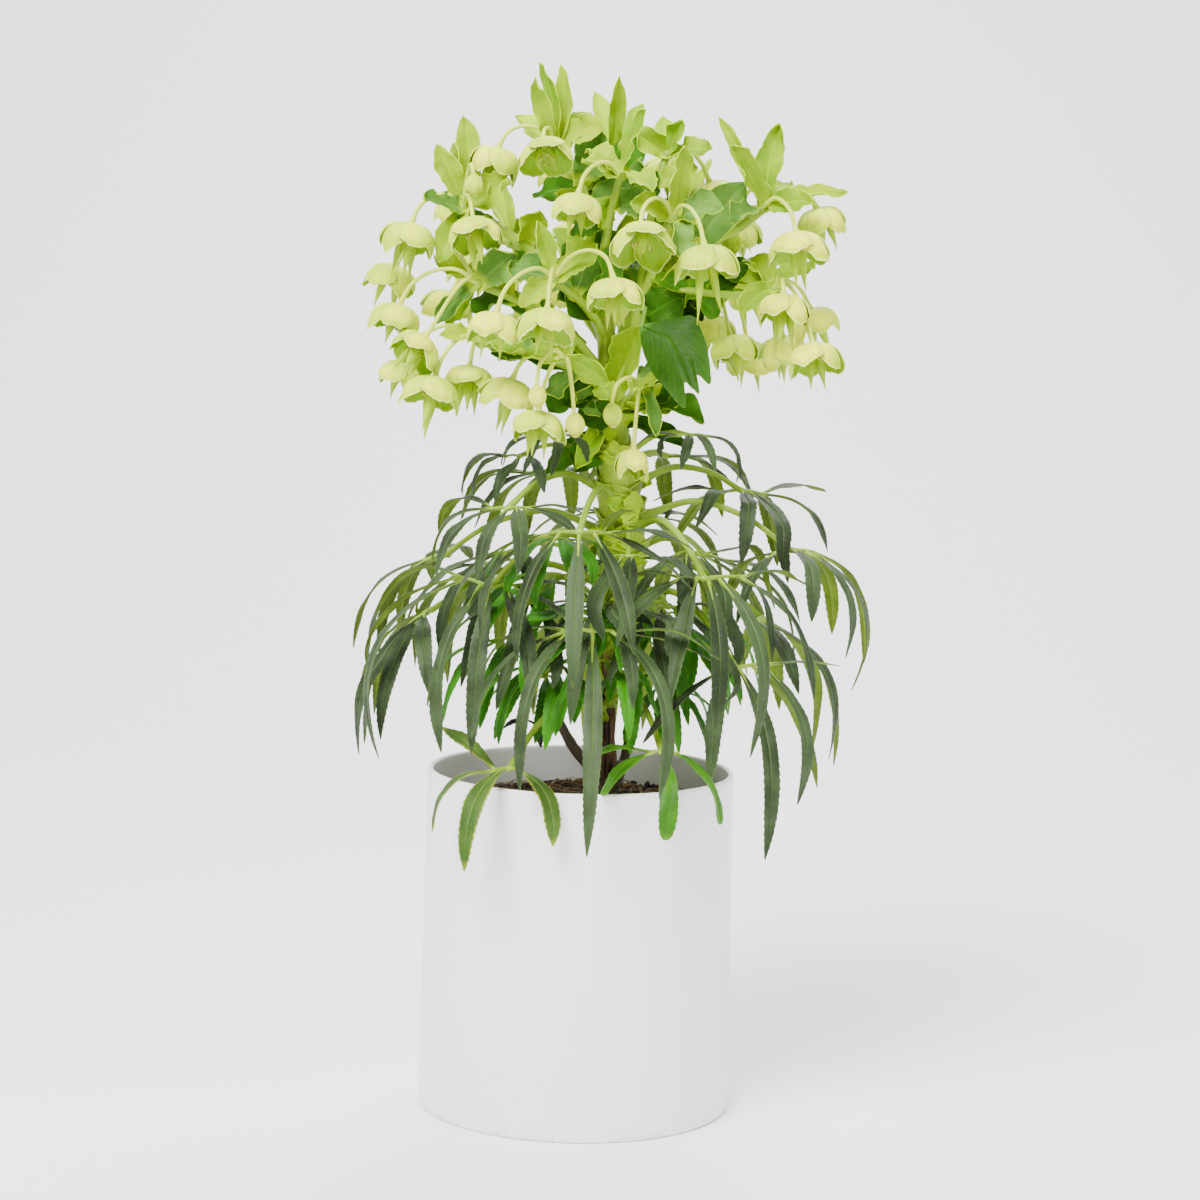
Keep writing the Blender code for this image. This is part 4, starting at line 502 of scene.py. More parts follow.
def trunk_reach(z, azimuth):
    """Distance from the axis to the flat-sided skin, at its widest over the foot of a stalk."""
    step = 2 * math.pi / TRUNK_SIDES
    off = (math.radians(azimuth) + step / 2) % step - step / 2
    widest = max(trunk_radius(z + dz) for dz in (-2.6, -1.3, 0.0, 1.3, 2.6))
    reach = widest * math.cos(step / 2) / math.cos(off)
    for corner in (step / 2, -step / 2):
        if abs(widest * math.sin(corner - off)) < 2.8:
            reach = max(reach, widest * math.cos(corner - off))
    return reach


def petiole_path(root, hub):
    z, azimuth = root
    out = heading(azimuth)
    start = trunk_axis(z) + out * (trunk_reach(z, azimuth) + SEAT_GAP)
    hub = vec(*hub)
    gap = np.linalg.norm(hub - start)
    second = start + out * 4.0
    rise = vec(0, 0, 0.22 * gap)
    path = bezier(second, second + out * gap * 0.25 + rise, hub - (hub - second) * 0.25 + rise * 0.8, hub, 3)
    return np.vstack([[start], path])


def arc(base, azimuth, length, slope0, slope1, steps=CHAIN_STEPS):
    """Leaflet midrib: level heading fixed, slope changing evenly from base to tip."""
    out = [np.array(base, dtype=float)]
    flat = heading(azimuth)
    for i in range(steps):
        e = math.radians(slope0 + (slope1 - slope0) * (i + 0.5) / steps)
        out.append(out[-1] + (flat * math.cos(e) + vec(0, 0, math.sin(e))) * length / steps)
    return np.array(out)


def arm_path(leaf):
    left, right = (vec(*p) for p in leaf["arms"])
    hub = vec(*leaf["hub"])
    lift = vec(0, 0, 0.6)
    return np.array([left, 0.5 * (left + hub) + lift, hub, 0.5 * (right + hub) + lift, right])


def on_arms(leaf, s):
    left, mid_left, hub, mid_right, right = arm_path(leaf)
    half = [hub, mid_left, left] if s < 0 else [hub, mid_right, right]
    return along(half, min(abs(s), 0.97))


def push_apart(q, reach, owner, other, other_reach, other_owner, share):
    """How far each point moves to get clear of the other points that aren't of its own leaf."""
    delta = q[:, None, :] - other[None, :, :]
    dist = np.sqrt((delta ** 2).sum(axis=2)) + 1e-6
    lack = reach[:, None] + other_reach[None, :] - dist
    lack[(lack < 0) | (owner[:, None] == other_owner[None, :])] = 0.0
    return (delta * (share * lack / dist)[:, :, None]).sum(axis=1)


def spread_apart(chains, owners, widths, fixed, rounds=70):
    """Moves hanging leaflets of different leaves clear of each other, of the stalks and of the pot.

    Each chain keeps its first point and the lengths of its links."""
    p = np.array(chains)
    links = np.linalg.norm(np.diff(p, axis=1), axis=2)
    count, size = p.shape[:2]
    owner = np.repeat(np.array(owners), size)
    t = np.linspace(0.0, 1.0, size)
    body = np.interp(t, [0, 0.12, 0.4, 0.7, 1.0], [0.3, 0.62, 1.0, 0.9, 0.3])
    reach = (np.array(widths)[:, None] * 0.5 * body[None, :] + 0.9).reshape(-1)
    free = np.tile(np.clip(t * 2.2, 0.0, 1.0), count)
    free[np.tile(t, count) == 0.0] = 0.0
    still = [np.array(column) for column in zip(*fixed)]
    for _ in range(rounds):
        q = p.reshape(-1, 3)
        push = push_apart(q, reach, owner, q, reach, owner, 0.42)
        push += push_apart(q, reach, owner, *still, 0.7)
        size_now = np.linalg.norm(push, axis=1)[:, None]
        push *= np.minimum(1.0, 3.0 / np.maximum(size_now, 1e-6))
        q = q + push * free[:, None]
        q = clear_of_pot(q, free)
        p = q.reshape(count, size, 3)
        p[:, 1:-1] += 0.12 * (0.5 * (p[:, :-2] + p[:, 2:]) - p[:, 1:-1])
        for k in range(1, size):
            step = p[:, k] - p[:, k - 1]
            step /= np.linalg.norm(step, axis=1)[:, None] + 1e-9
            p[:, k] = p[:, k - 1] + step * links[:, k - 1][:, None]
    return p


def clear_of_pot(q, free):
    """Points near the wall go outside it or over the rim, and none sinks into the soil."""
    q = q.copy()
    r = np.hypot(q[:, 0], q[:, 1]) + 1e-9
    middle = POT_RIM_RADIUS - 0.5 * POT_WALL
    above = np.maximum(q[:, 2] - POT_HEIGHT, 0.0)
    beside = r - middle
    beside[(np.abs(beside) < 0.3)] = 0.3
    dist = np.hypot(beside, above) + 1e-9
    lack = np.maximum(0.5 * POT_WALL + 3.6 - dist, 0.0) * (free > 0)
    q[:, 0] += q[:, 0] / r * beside / dist * lack
    q[:, 1] += q[:, 1] / r * beside / dist * lack
    q[:, 2] += above / dist * lack
    inside = (r < middle) & (free > 0)
    q[inside, 2] = np.maximum(q[inside, 2], SOIL_TOP + 6.0)
    return q


def leaflet_paths():
    """Midrib of every leaflet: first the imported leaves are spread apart, then the others round them."""
    fixed = [(trunk_axis(z), trunk_radius(z) + 1.5, -1) for z in np.arange(180, 420, 6.0)]
    for spray in SPRAYS.values():
        for x, y, z, *_ in spray["flowers"]:
            fixed.append((vec(x, y, z), 15.0, -1))
    paths = {}
    number = 0
    for group_of_leaves in (LEAVES, MORE_LEAVES):
        chains, owners, widths, tags = [], [], [], []
        for name, leaf in group_of_leaves.items():
            for index, (s, azimuth, length, slope0, slope1) in enumerate(leaf["leaflets"]):
                chains.append(arc(on_arms(leaf, s), azimuth, length, slope0, slope1))
                owners.append(number)
                widths.append(leaf["width"])
                tags.append((name, index))
            for point in resample(petiole_path(leaf["root"], leaf["hub"]), 14):
                fixed.append((point, PETIOLE_RADIUS + 0.8, number))
            for point in resample(arm_path(leaf), 8):
                fixed.append((point, ARM_RADIUS + 1.0, number))
            number += 1
        solved = spread_apart(chains, owners, widths, fixed)
        for tag, chain, width in zip(tags, solved, widths):
            paths[tag] = chain
            fixed += [(point, 0.4 * width, -2) for point in chain[2:-1]]
    return paths


def pedicel_path(node, top, axis):
    """Rises from the node, arches over and comes down into the bell along its axis."""
    gap = np.linalg.norm(top - node)
    lift = vec(0, 0, 1) * (6.0 + 0.30 * gap)
    inner = node + 0.25 * (top - node) + lift
    return bezier(node, inner, top - axis * (5.0 + 0.32 * gap), top, 4 if gap > 30 else 3)


def flower_pose(row):
    x, y, z, azimuth, tip, size = row
    tilt = math.radians(tip)
    axis = heading(azimuth) * math.sin(tilt) - vec(0, 0, 1) * math.cos(tilt)
    return vec(x, y, z) - axis * BELL_DEPTH * size * 0.5, axis, size


def polyline_reach(points):
    steps = np.linalg.norm(np.diff(points, axis=0), axis=1)
    return np.concatenate([[0.0], np.cumsum(steps)])


def stations(points, shares):
    """Points at the given shares of the length of a polyline."""
    points = np.asarray(points, dtype=float)
    reach = polyline_reach(points)
    at = np.asarray(shares) * reach[-1]
    return np.stack([np.interp(at, reach, points[:, i]) for i in range(3)], axis=1)


def along(points, share):
    return stations(points, [share])[0]


def resample(points, count):
    return stations(points, np.linspace(0.0, 1.0, count))


def wander(draw, waves=3):
    """A sum of a few sines that drifts between about -1 and 1 over a run from 0 to 1."""
    terms = [(draw.uniform(0.5, 1.0) / k, draw.uniform(0.5, 0.9) * k, draw.uniform(0.0, 2 * math.pi))
             for k in range(1, waves + 1)]
    total = sum(size for size, _, _ in terms)

    def drift(t):
        return sum(size * np.sin(2 * math.pi * rate * t + start) for size, rate, start in terms) / total
    return drift


def grid(rows, columns, first=0, around=False, turned_over=False):
    """Four-cornered faces over rows and columns of points."""
    i, j = np.meshgrid(np.arange(rows - 1), np.arange(columns if around else columns - 1), indexing="ij")
    i, j = i.ravel(), j.ravel()
    k = (j + 1) % columns
    a, b, c, d = i * columns + j, i * columns + k, (i + 1) * columns + k, (i + 1) * columns + j
    return np.stack((a, d, c, b) if turned_over else (a, b, c, d), axis=1) + first


def facing(points):
    """Unit normals of a grid of points."""
    n = np.cross(np.gradient(points, axis=1), np.gradient(points, axis=0))
    return n / (np.linalg.norm(n, axis=2, keepdims=True) + 1e-12)


def ring_angles(sides):
    return 2 * math.pi * np.arange(sides) / sides


def level_ring(radius, height, turn, x=0.0, y=0.0):
    """Points round an upright axis at one height."""
    level = np.full(len(turn), height)
    return np.stack([x + radius * np.cos(turn), y + radius * np.sin(turn), level], axis=1)


class Skin:
    """A mesh in the making: points, their place across and along the surface, a tone, and faces."""

    def __init__(self):
        self.points, self.places, self.tones = [], [], []
        self.faces = {3: [], 4: []}
        self.finishes = {3: [], 4: []}
        self.count = 0

    def add(self, points, across, length, tone):
        first = self.count
        points = np.asarray(points, dtype=float)
        shape = points.shape[:-1]
        self.points.append(points.reshape(-1, 3))
        place = np.stack([np.broadcast_to(across, shape), np.broadcast_to(length, shape)], axis=-1)
        self.places.append(place.reshape(-1, 2))
        self.tones.append(np.broadcast_to(tone, shape).reshape(-1))
        self.count += len(self.points[-1])
        return first

    def face(self, corners, finish):
        corners = np.atleast_2d(corners)
        self.faces[corners.shape[1]].append(corners)
        self.finishes[corners.shape[1]].append(np.full(len(corners), finish))

    def cap(self, centre, length, tone, first, sides, finish, turned_over=False):
        """Fan of triangles from a middle point, which closes the ring that starts at point number first."""
        middle = self.add(np.asarray(centre)[None, :], 0.5, length, tone)
        ring = first + np.arange(sides)
        pair = (np.roll(ring, -1), ring) if turned_over else (ring, np.roll(ring, -1))
        self.face(np.stack([np.full(sides, middle), *pair], axis=1), finish)

    def sheet(self, upper, thickness, finishes, tone, across=None, length=None, lower=None):
        """Closed thin sheet: upper points, lower points under them, and a rim all round."""
        rows, columns = upper.shape[:2]
        if lower is None:
            lower = upper - facing(upper) * np.broadcast_to(thickness, (rows, columns))[:, :, None]
        across = np.linspace(0, 1, columns)[None, :] if across is None else across
        length = np.linspace(0, 1, rows)[:, None] if length is None else length
        top = self.add(upper, across, length, tone)
        low = self.add(lower, across, length, tone)
        self.face(grid(rows, columns, top), finishes[0])
        self.face(grid(rows, columns, low, turned_over=True), finishes[1])
        last = (rows - 1) * columns
        loop = [i * columns for i in range(rows)] + [last + j for j in range(1, columns)]
        loop += [i * columns + columns - 1 for i in range(rows - 2, -1, -1)] + list(range(columns - 2, 0, -1))
        loop = np.array(loop)
        following = np.roll(loop, -1)
        self.face(np.stack([loop + top, following + top, following + low, loop + low], axis=1), finishes[-1])

    def tube(self, path, radii, sides, finish, tone=0.5, side=None, groove=0.0, flat=1.0):
        """Round stalk with closed ends; groove cuts a channel into its top, flat squashes it."""
        path = np.asarray(path, dtype=float)
        if side is None:
            side = np.cross(unit(path[-1] - path[0]), vec(0, 0, 1))
            side = side if np.linalg.norm(side) > 0.2 else vec(1, 0, 0)
        turn = 2 * math.pi * (np.arange(sides) + 0.5) / sides
        from_top = np.abs((turn - math.pi / 2 + math.pi) % (2 * math.pi) - math.pi) / math.pi
        notch = 1.0 - groove * np.exp(-(from_top / 0.13) ** 2)
        radii = np.broadcast_to(radii, len(path))
        rings = []
        for point, (_, across, top), r in zip(path, frames(path, side), radii):
            rings.append(point + (r * notch * np.cos(turn))[:, None] * across
                         + (r * flat * notch * np.sin(turn))[:, None] * top)
        first = self.add(rings, from_top[None, :], np.linspace(0, 1, len(path))[:, None], tone)
        self.face(grid(len(path), sides, first, around=True, turned_over=True), finish)
        self.cap(path[0], 0.0, tone, first, sides, finish)
        self.cap(path[-1], 1.0, tone, first + (len(path) - 1) * sides, sides, finish, turned_over=True)

    def lump(self, centre, radii, finish, tone=0.5, turns=None, rows=6, sides=8):
        """Small closed rounded body with the given half sizes."""
        turns = np.eye(3) if turns is None else turns
        rise = np.linspace(0, math.pi, rows + 2)[1:-1]
        spin = ring_angles(sides)
        shape = np.stack([np.sin(rise)[:, None] * np.cos(spin), np.sin(rise)[:, None] * np.sin(spin),
                          -np.cos(rise)[:, None] * np.ones(sides)], axis=-1)
        first = self.add(centre + (shape * radii) @ turns.T, spin / (2 * math.pi), (rise / math.pi)[:, None],
                         tone)
        self.face(grid(rows, sides, first, around=True), finish)
        pole = turns @ (vec(0, 0, 1) * radii)
        self.cap(centre - pole, 0.0, tone, first, sides, finish, turned_over=True)
        self.cap(centre + pole, 1.0, tone, first + (rows - 1) * sides, sides, finish)

    def piece(self, name, finishes, slot, *nodes, crease=50.0):
        """The finished piece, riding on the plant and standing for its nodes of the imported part."""
        mesh = bpy.data.meshes.new(name)
        points = np.concatenate(self.points) * MM
        corners = [np.concatenate(self.faces[n]).ravel() for n in (4, 3) if self.faces[n]]
        sizes = [np.full(sum(len(f) for f in self.faces[n]), n) for n in (4, 3) if self.faces[n]]
        kinds = [np.concatenate(self.finishes[n]) for n in (4, 3) if self.faces[n]]
        corners, sizes, kinds = np.concatenate(corners), np.concatenate(sizes), np.concatenate(kinds)
        mesh.vertices.add(len(points))
        mesh.vertices.foreach_set("co", points.astype(np.float32).ravel())
        mesh.loops.add(len(corners))
        mesh.loops.foreach_set("vertex_index", corners.astype(np.int32))
        mesh.polygons.add(len(sizes))
        mesh.polygons.foreach_set("loop_start", np.concatenate([[0], np.cumsum(sizes)[:-1]]).astype(np.int32))
        mesh.polygons.foreach_set("material_index", kinds.astype(np.int32))
        mesh.update(calc_edges=True)
        layer = mesh.uv_layers.new(name="Surface")
        layer.data.foreach_set("uv", np.concatenate(self.places)[corners].astype(np.float32).ravel())
        tone = mesh.attributes.new("tone", "FLOAT", "POINT")
        tone.data.foreach_set("value", np.concatenate(self.tones).astype(np.float32))
        for finish in finishes:
            mesh.materials.append(finish)
        mesh.shade_smooth()
        mesh.set_sharp_from_angle(angle=math.radians(crease))
        mesh.validate()
        obj = bpy.data.objects.new(name, mesh)
        bpy.context.scene.collection.objects.link(obj)
        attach(obj, "root")
        if nodes:
            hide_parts(*nodes)
        return obj


def add_node(tree, kind, inputs=None, **settings):
    """One shader node; each input is a value or the socket that feeds it."""
    node = tree.nodes.new("ShaderNode" + kind)
    for key, value in settings.items():
        setattr(node, key, value)
    for key, value in (inputs or {}).items():
        socket = node.inputs[key]
        if isinstance(value, bpy.types.NodeSocket):
            tree.links.new(value, socket)
        else:
            socket.default_value = value
    return node


def maths(tree, operation, a, b=0.0, c=0.0):
    return add_node(tree, "Math", {0: a, 1: b, 2: c}, operation=operation).outputs[0]


def times(tree, a, b):
    return maths(tree, "MULTIPLY", a, b)


def plus(tree, a, b):
    return maths(tree, "ADD", a, b)


def ramp(tree, value, start, end, low=0.0, high=1.0):
    """Smooth step of a value from start to end."""
    node = add_node(tree, "MapRange", {"Value": value, "From Min": start, "From Max": end,
                                       "To Min": low, "To Max": high}, interpolation_type="SMOOTHSTEP")
    return node.outputs["Result"]


def blend(tree, mask, a, b):
    """Colour a where the mask is 0 and b where it is 1; colours are triples or sockets."""
    a = a if isinstance(a, bpy.types.NodeSocket) else (*a, 1.0)
    b = b if isinstance(b, bpy.types.NodeSocket) else (*b, 1.0)
    return add_node(tree, "Mix", {0: mask, 6: a, 7: b}, data_type="RGBA").outputs[2]


def shade(colour, factor):
    return tuple(min(1.0, c * factor) for c in colour)


def shades(colour, *factors):
    return [shade(colour, factor) for factor in factors]


def new_group(name, inputs, outputs):
    """Empty shader node group with number inputs and outputs."""
    tree = bpy.data.node_groups.new(name, "ShaderNodeTree")
    for label, value in inputs:
        socket = tree.interface.new_socket(label, in_out="INPUT", socket_type="NodeSocketFloat")
        socket.default_value = value
    for label in outputs:
        tree.interface.new_socket(label, in_out="OUTPUT", socket_type="NodeSocketFloat")
    return tree, tree.nodes.new("NodeGroupInput").outputs, tree.nodes.new("NodeGroupOutput").inputs


def vein_group():
    """Midrib, slanting or parallel side veins, margin and place along, from a blade's surface places."""
    tree, given, made = new_group("Blade veins", [
        ("Rib width", 0.05), ("Vein count", 18.0), ("Slant", 2.0), ("Parallel", 0.0), ("Margin width", 0.04),
        ("Waver", 2.2),
    ], ["Rib", "Veins", "Margin", "Seam", "Length"])
    place = add_node(tree, "UVMap", uv_map="Surface").outputs[0]
    parts = add_node(tree, "SeparateXYZ", {0: place}).outputs
    across = maths(tree, "ABSOLUTE", maths(tree, "SUBTRACT", parts["X"], 0.5))
    rough = add_node(tree, "TexNoise", {"Vector": place, "Scale": 5.0, "Detail": 2.0}).outputs["Fac"]
    width = times(tree, given["Rib width"], ramp(tree, parts["Y"], 0.0, 1.0, 1.25, 0.45))
    tree.links.new(ramp(tree, across, width, 0.0), made["Rib"])
    lean = times(tree, maths(tree, "POWER", across, 0.8), times(tree, given["Slant"], 0.1))
    slanted = maths(tree, "SUBTRACT", parts["Y"], lean)
    run = add_node(tree, "Mix", {0: given["Parallel"], 2: slanted, 3: across}, data_type="FLOAT").outputs[0]
    phase = plus(tree, times(tree, run, given["Vein count"]), times(tree, rough, given["Waver"]))
    wave = maths(tree, "ABSOLUTE", maths(tree, "SUBTRACT", maths(tree, "FRACT", phase), 0.5))
    lines = times(tree, ramp(tree, wave, 0.17, 0.0), ramp(tree, rough, 0.35, 0.6, 0.4, 1.0))
    tree.links.new(lines, made["Veins"])
    inward = maths(tree, "MINIMUM", maths(tree, "SUBTRACT", 0.5, across),
                   times(tree, maths(tree, "SUBTRACT", 1.0, parts["Y"]), 0.7))
    tree.links.new(ramp(tree, inward, given["Margin width"], 0.0), made["Margin"])
    # Painted shade: a band just inside the margin, darkest towards the edge, where an overlapping neighbour
    # would shade it
    wide = times(tree, given["Margin width"], 4.5)
    tree.links.new(ramp(tree, inward, wide, given["Margin width"]), made["Seam"])
    tree.links.new(parts["Y"], made["Length"])
    return tree


def mottle_group():
    """Broad uneven patches, fine grain and the piece's own tone, in the plant's own millimetres."""
    tree, given, made = new_group("Plant mottle", [("Patch scale", 60.0), ("Grain scale", 900.0)],
                                  ["Patches", "Grain", "Tone", "Height"])
    spot = add_node(tree, "TexCoord").outputs["Object"]
    patches = add_node(tree, "TexNoise", {"Vector": spot, "Scale": given["Patch scale"], "Detail": 3.0})
    grain = add_node(tree, "TexNoise", {"Vector": spot, "Scale": given["Grain scale"], "Detail": 2.0})
    tree.links.new(ramp(tree, patches.outputs["Fac"], 0.32, 0.68), made["Patches"])
    tree.links.new(grain.outputs["Fac"], made["Grain"])
    tree.links.new(add_node(tree, "Attribute", attribute_name="tone").outputs["Fac"], made["Tone"])
    tree.links.new(add_node(tree, "SeparateXYZ", {0: spot}).outputs["Z"], made["Height"])
    return tree


def group(tree, name, **inputs):
    """A shared group placed in a material; builds the group on first use."""
    makers = {"Blade veins": vein_group, "Plant mottle": mottle_group}
    known = bpy.data.node_groups.get(name) or makers[name]()
    node = tree.nodes.new("ShaderNodeGroup")
    node.node_tree = known
    for label, value in inputs.items():
        node.inputs[label.replace("_", " ").capitalize()].default_value = value
    return node.outputs


def new_finish(name, roughness, **settings):
    """New material: its node tree and its shader, with the numbers that are the same all over."""
    material = bpy.data.materials.new(name)
    material.use_nodes = True
    shader = material.node_tree.nodes["Principled BSDF"]
    shader.inputs["Roughness"].default_value = roughness
    for label, value in settings.items():
        shader.inputs[label.replace("_", " ")].default_value = value
    return material, material.node_tree, shader


def feed(tree, shader, label, socket):
    tree.links.new(socket, shader.inputs[label])


def bump(tree, shader, height, depth, strength=1.0):
    """Relief of the given depth in millimetres."""
    node = add_node(tree, "Bump", {"Height": height, "Distance": depth * MM, "Strength": strength})
    feed(tree, shader, "Normal", node.outputs["Normal"])


def blade_finish(name, dark, light, vein, margin, foot, roughness, vein_count=22.0, slant=2.2, parallel=0.0,
                 rib_width=0.07, rib=0.8, veins=0.25, margin_width=0.05, rim=0.6, foot_end=0.07, relief=0.25,
                 patch_scale=55.0, gloss=0.16, painted_edge_shade=0.0, waver=2.2):
    """Finish of a leaf, bract or sepal: mottled ground, veins, midrib, pale margin and pale foot."""
    material, tree, shader = new_finish(name, roughness, Specular_IOR_Level=gloss)
    lines = group(tree, "Blade veins", rib_width=rib_width, vein_count=vein_count, slant=slant,
                  parallel=parallel, margin_width=margin_width, waver=waver)
    mottle = group(tree, "Plant mottle", patch_scale=patch_scale)
    spread = plus(tree, times(tree, mottle["Patches"], 0.5), times(tree, mottle["Tone"], 0.6))
    colour = blend(tree, ramp(tree, spread, 0.05, 1.0), dark, light)
    colour = blend(tree, times(tree, lines["Veins"], veins), colour, vein)
    # Painted shade along the edges, in the vein colour
    colour = blend(tree, times(tree, lines["Seam"], painted_edge_shade), colour, vein)
    strength = ramp(tree, lines["Length"], 0.0, 1.0, rib, rib * 0.35)
    colour = blend(tree, times(tree, lines["Rib"], strength), colour, vein)
    edge = times(tree, lines["Margin"], times(tree, ramp(tree, mottle["Grain"], 0.2, 0.6), rim))
    colour = blend(tree, edge, colour, margin)
    colour = blend(tree, ramp(tree, lines["Length"], foot_end, foot_end * 0.25), colour, foot)
    feed(tree, shader, "Base Color", colour)
    rough = maths(tree, "MULTIPLY_ADD", mottle["Grain"], 0.16, roughness - 0.08)
    feed(tree, shader, "Roughness", rough)
    height = plus(tree, times(tree, lines["Veins"], -0.7), mottle["Grain"])
    bump(tree, shader, height, relief)
    return material


def stalk_finish(name, dark, light, streak, roughness=0.45, relief=0.2):
    """Finish of a round stalk: fine streaks along it over an uneven ground."""
    material, tree, shader = new_finish(name, roughness, Specular_IOR_Level=0.2)
    place = add_node(tree, "UVMap", uv_map="Surface").outputs[0]
    stretched = add_node(tree, "Mapping", {"Vector": place, "Scale": (14.0, 1.2, 1.0)}).outputs[0]
    streaks = add_node(tree, "TexNoise", {"Vector": stretched, "Scale": 1.6, "Detail": 3.0}).outputs["Fac"]
    mottle = group(tree, "Plant mottle", patch_scale=45.0)
    spread = plus(tree, times(tree, mottle["Patches"], 0.5), times(tree, mottle["Tone"], 0.5))
    colour = blend(tree, spread, dark, light)
    colour = blend(tree, ramp(tree, streaks, 0.42, 0.68, 0.0, 0.6), colour, streak)
    feed(tree, shader, "Base Color", colour)
    bump(tree, shader, plus(tree, streaks, times(tree, mottle["Grain"], 0.4)), relief)
    return material


def trunk_finish(name, settings):
    """Green sheathed stem that turns reddish brown and fibrous towards the soil."""
    material, tree, shader = new_finish(name, 0.55, Specular_IOR_Level=0.2)
    mottle = group(tree, "Plant mottle", patch_scale=70.0, grain_scale=1200.0)
    spot = add_node(tree, "TexCoord").outputs["Object"]
    stretched = add_node(tree, "Mapping", {"Vector": spot, "Scale": (420.0, 420.0, 42.0)}).outputs[0]
    fibres = add_node(tree, "TexNoise", {"Vector": stretched, "Scale": 1.0, "Detail": 4.0}).outputs["Fac"]
    green = blend(tree, mottle["Patches"], settings.trunk_green, settings.trunk_light)
    green = blend(tree, ramp(tree, fibres, 0.5, 0.7, 0.0, 0.45), green, shade(settings.trunk_green, 0.55))
    bark = blend(tree, ramp(tree, fibres, 0.38, 0.62), settings.bark_dark, settings.bark_light)
    height = maths(tree, "MULTIPLY_ADD", mottle["Patches"], 0.012, mottle["Height"])
    colour = blend(tree, ramp(tree, height, BARK_TOP, GREEN_FOOT), bark, green)
    feed(tree, shader, "Base Color", colour)
    feed(tree, shader, "Roughness", ramp(tree, height, BARK_TOP, GREEN_FOOT, 0.85, 0.48))
    bump(tree, shader, plus(tree, fibres, times(tree, mottle["Grain"], 0.3)), 0.5)
    return material


def glaze_finish(settings):
    """White glaze: faint cloudiness, a soft orange-peel surface and a foot darker in grainy patches."""
    material, tree, shader = new_finish("White glaze", 0.3, Coat_Weight=0.25, Coat_Roughness=0.12)
    mottle = group(tree, "Plant mottle", patch_scale=9.0, grain_scale=260.0)
    colour = blend(tree, times(tree, mottle["Patches"], 0.5), settings.glaze, shade(settings.glaze, 0.965))
    # Darker in grainy patches over the lowest 14 mm of the pot
    foot_darkening = times(tree, ramp(tree, mottle["Height"], 0.014, 0.0), ramp(tree, mottle["Grain"], 0.4, 0.7))
    colour = blend(tree, times(tree, foot_darkening, 0.5), colour, settings.foot_darkening)
    feed(tree, shader, "Base Color", colour)
    feed(tree, shader, "Roughness", maths(tree, "MULTIPLY_ADD", mottle["Patches"], 0.07, 0.27))
    bump(tree, shader, mottle["Grain"], 0.05, 0.5)
    return material


def soil_finish(name, dark, light, fleck, relief=1.2):
    material, tree, shader = new_finish(name, 0.95)
    mottle = group(tree, "Plant mottle", patch_scale=120.0, grain_scale=1500.0)
    spot = add_node(tree, "TexCoord").outputs["Object"]
    cells = add_node(tree, "TexVoronoi", {"Vector": spot, "Scale": 520.0}).outputs
    colour = blend(tree, mottle["Patches"], dark, light)
    colour = blend(tree, times(tree, mottle["Tone"], 0.75), colour, fleck)
    # Painted shade: darker in the hollows between crumbs, where the bump sinks
    colour = blend(tree, ramp(tree, cells["Distance"], 0.5, 0.9, 0.0, 0.6), colour, shade(dark, 0.4))
    feed(tree, shader, "Base Color", colour)
    height = plus(tree, times(tree, cells["Distance"], -1.0), mottle["Grain"])
    bump(tree, shader, height, relief)
    return material


def turn_about(across, top, angle):
    """The side and top directions turned together about the way a blade runs."""
    c, s = np.cos(angle)[:, None], np.sin(angle)[:, None]
    return across * c + top * s, top * c - across * s


def carried(path, side):
    """Side and top directions along a path, as arrays."""
    made = frames(path, side)
    return np.array([f[1] for f in made]), np.array([f[2] for f in made])


def laid_out(path, across, top, x, rise):
    """Grid of points that lie x to the side of a path and rise above it."""
    return path[:, None, :] + across[:, None, :] * x[:, :, None] + top[:, None, :] * rise[:, :, None]


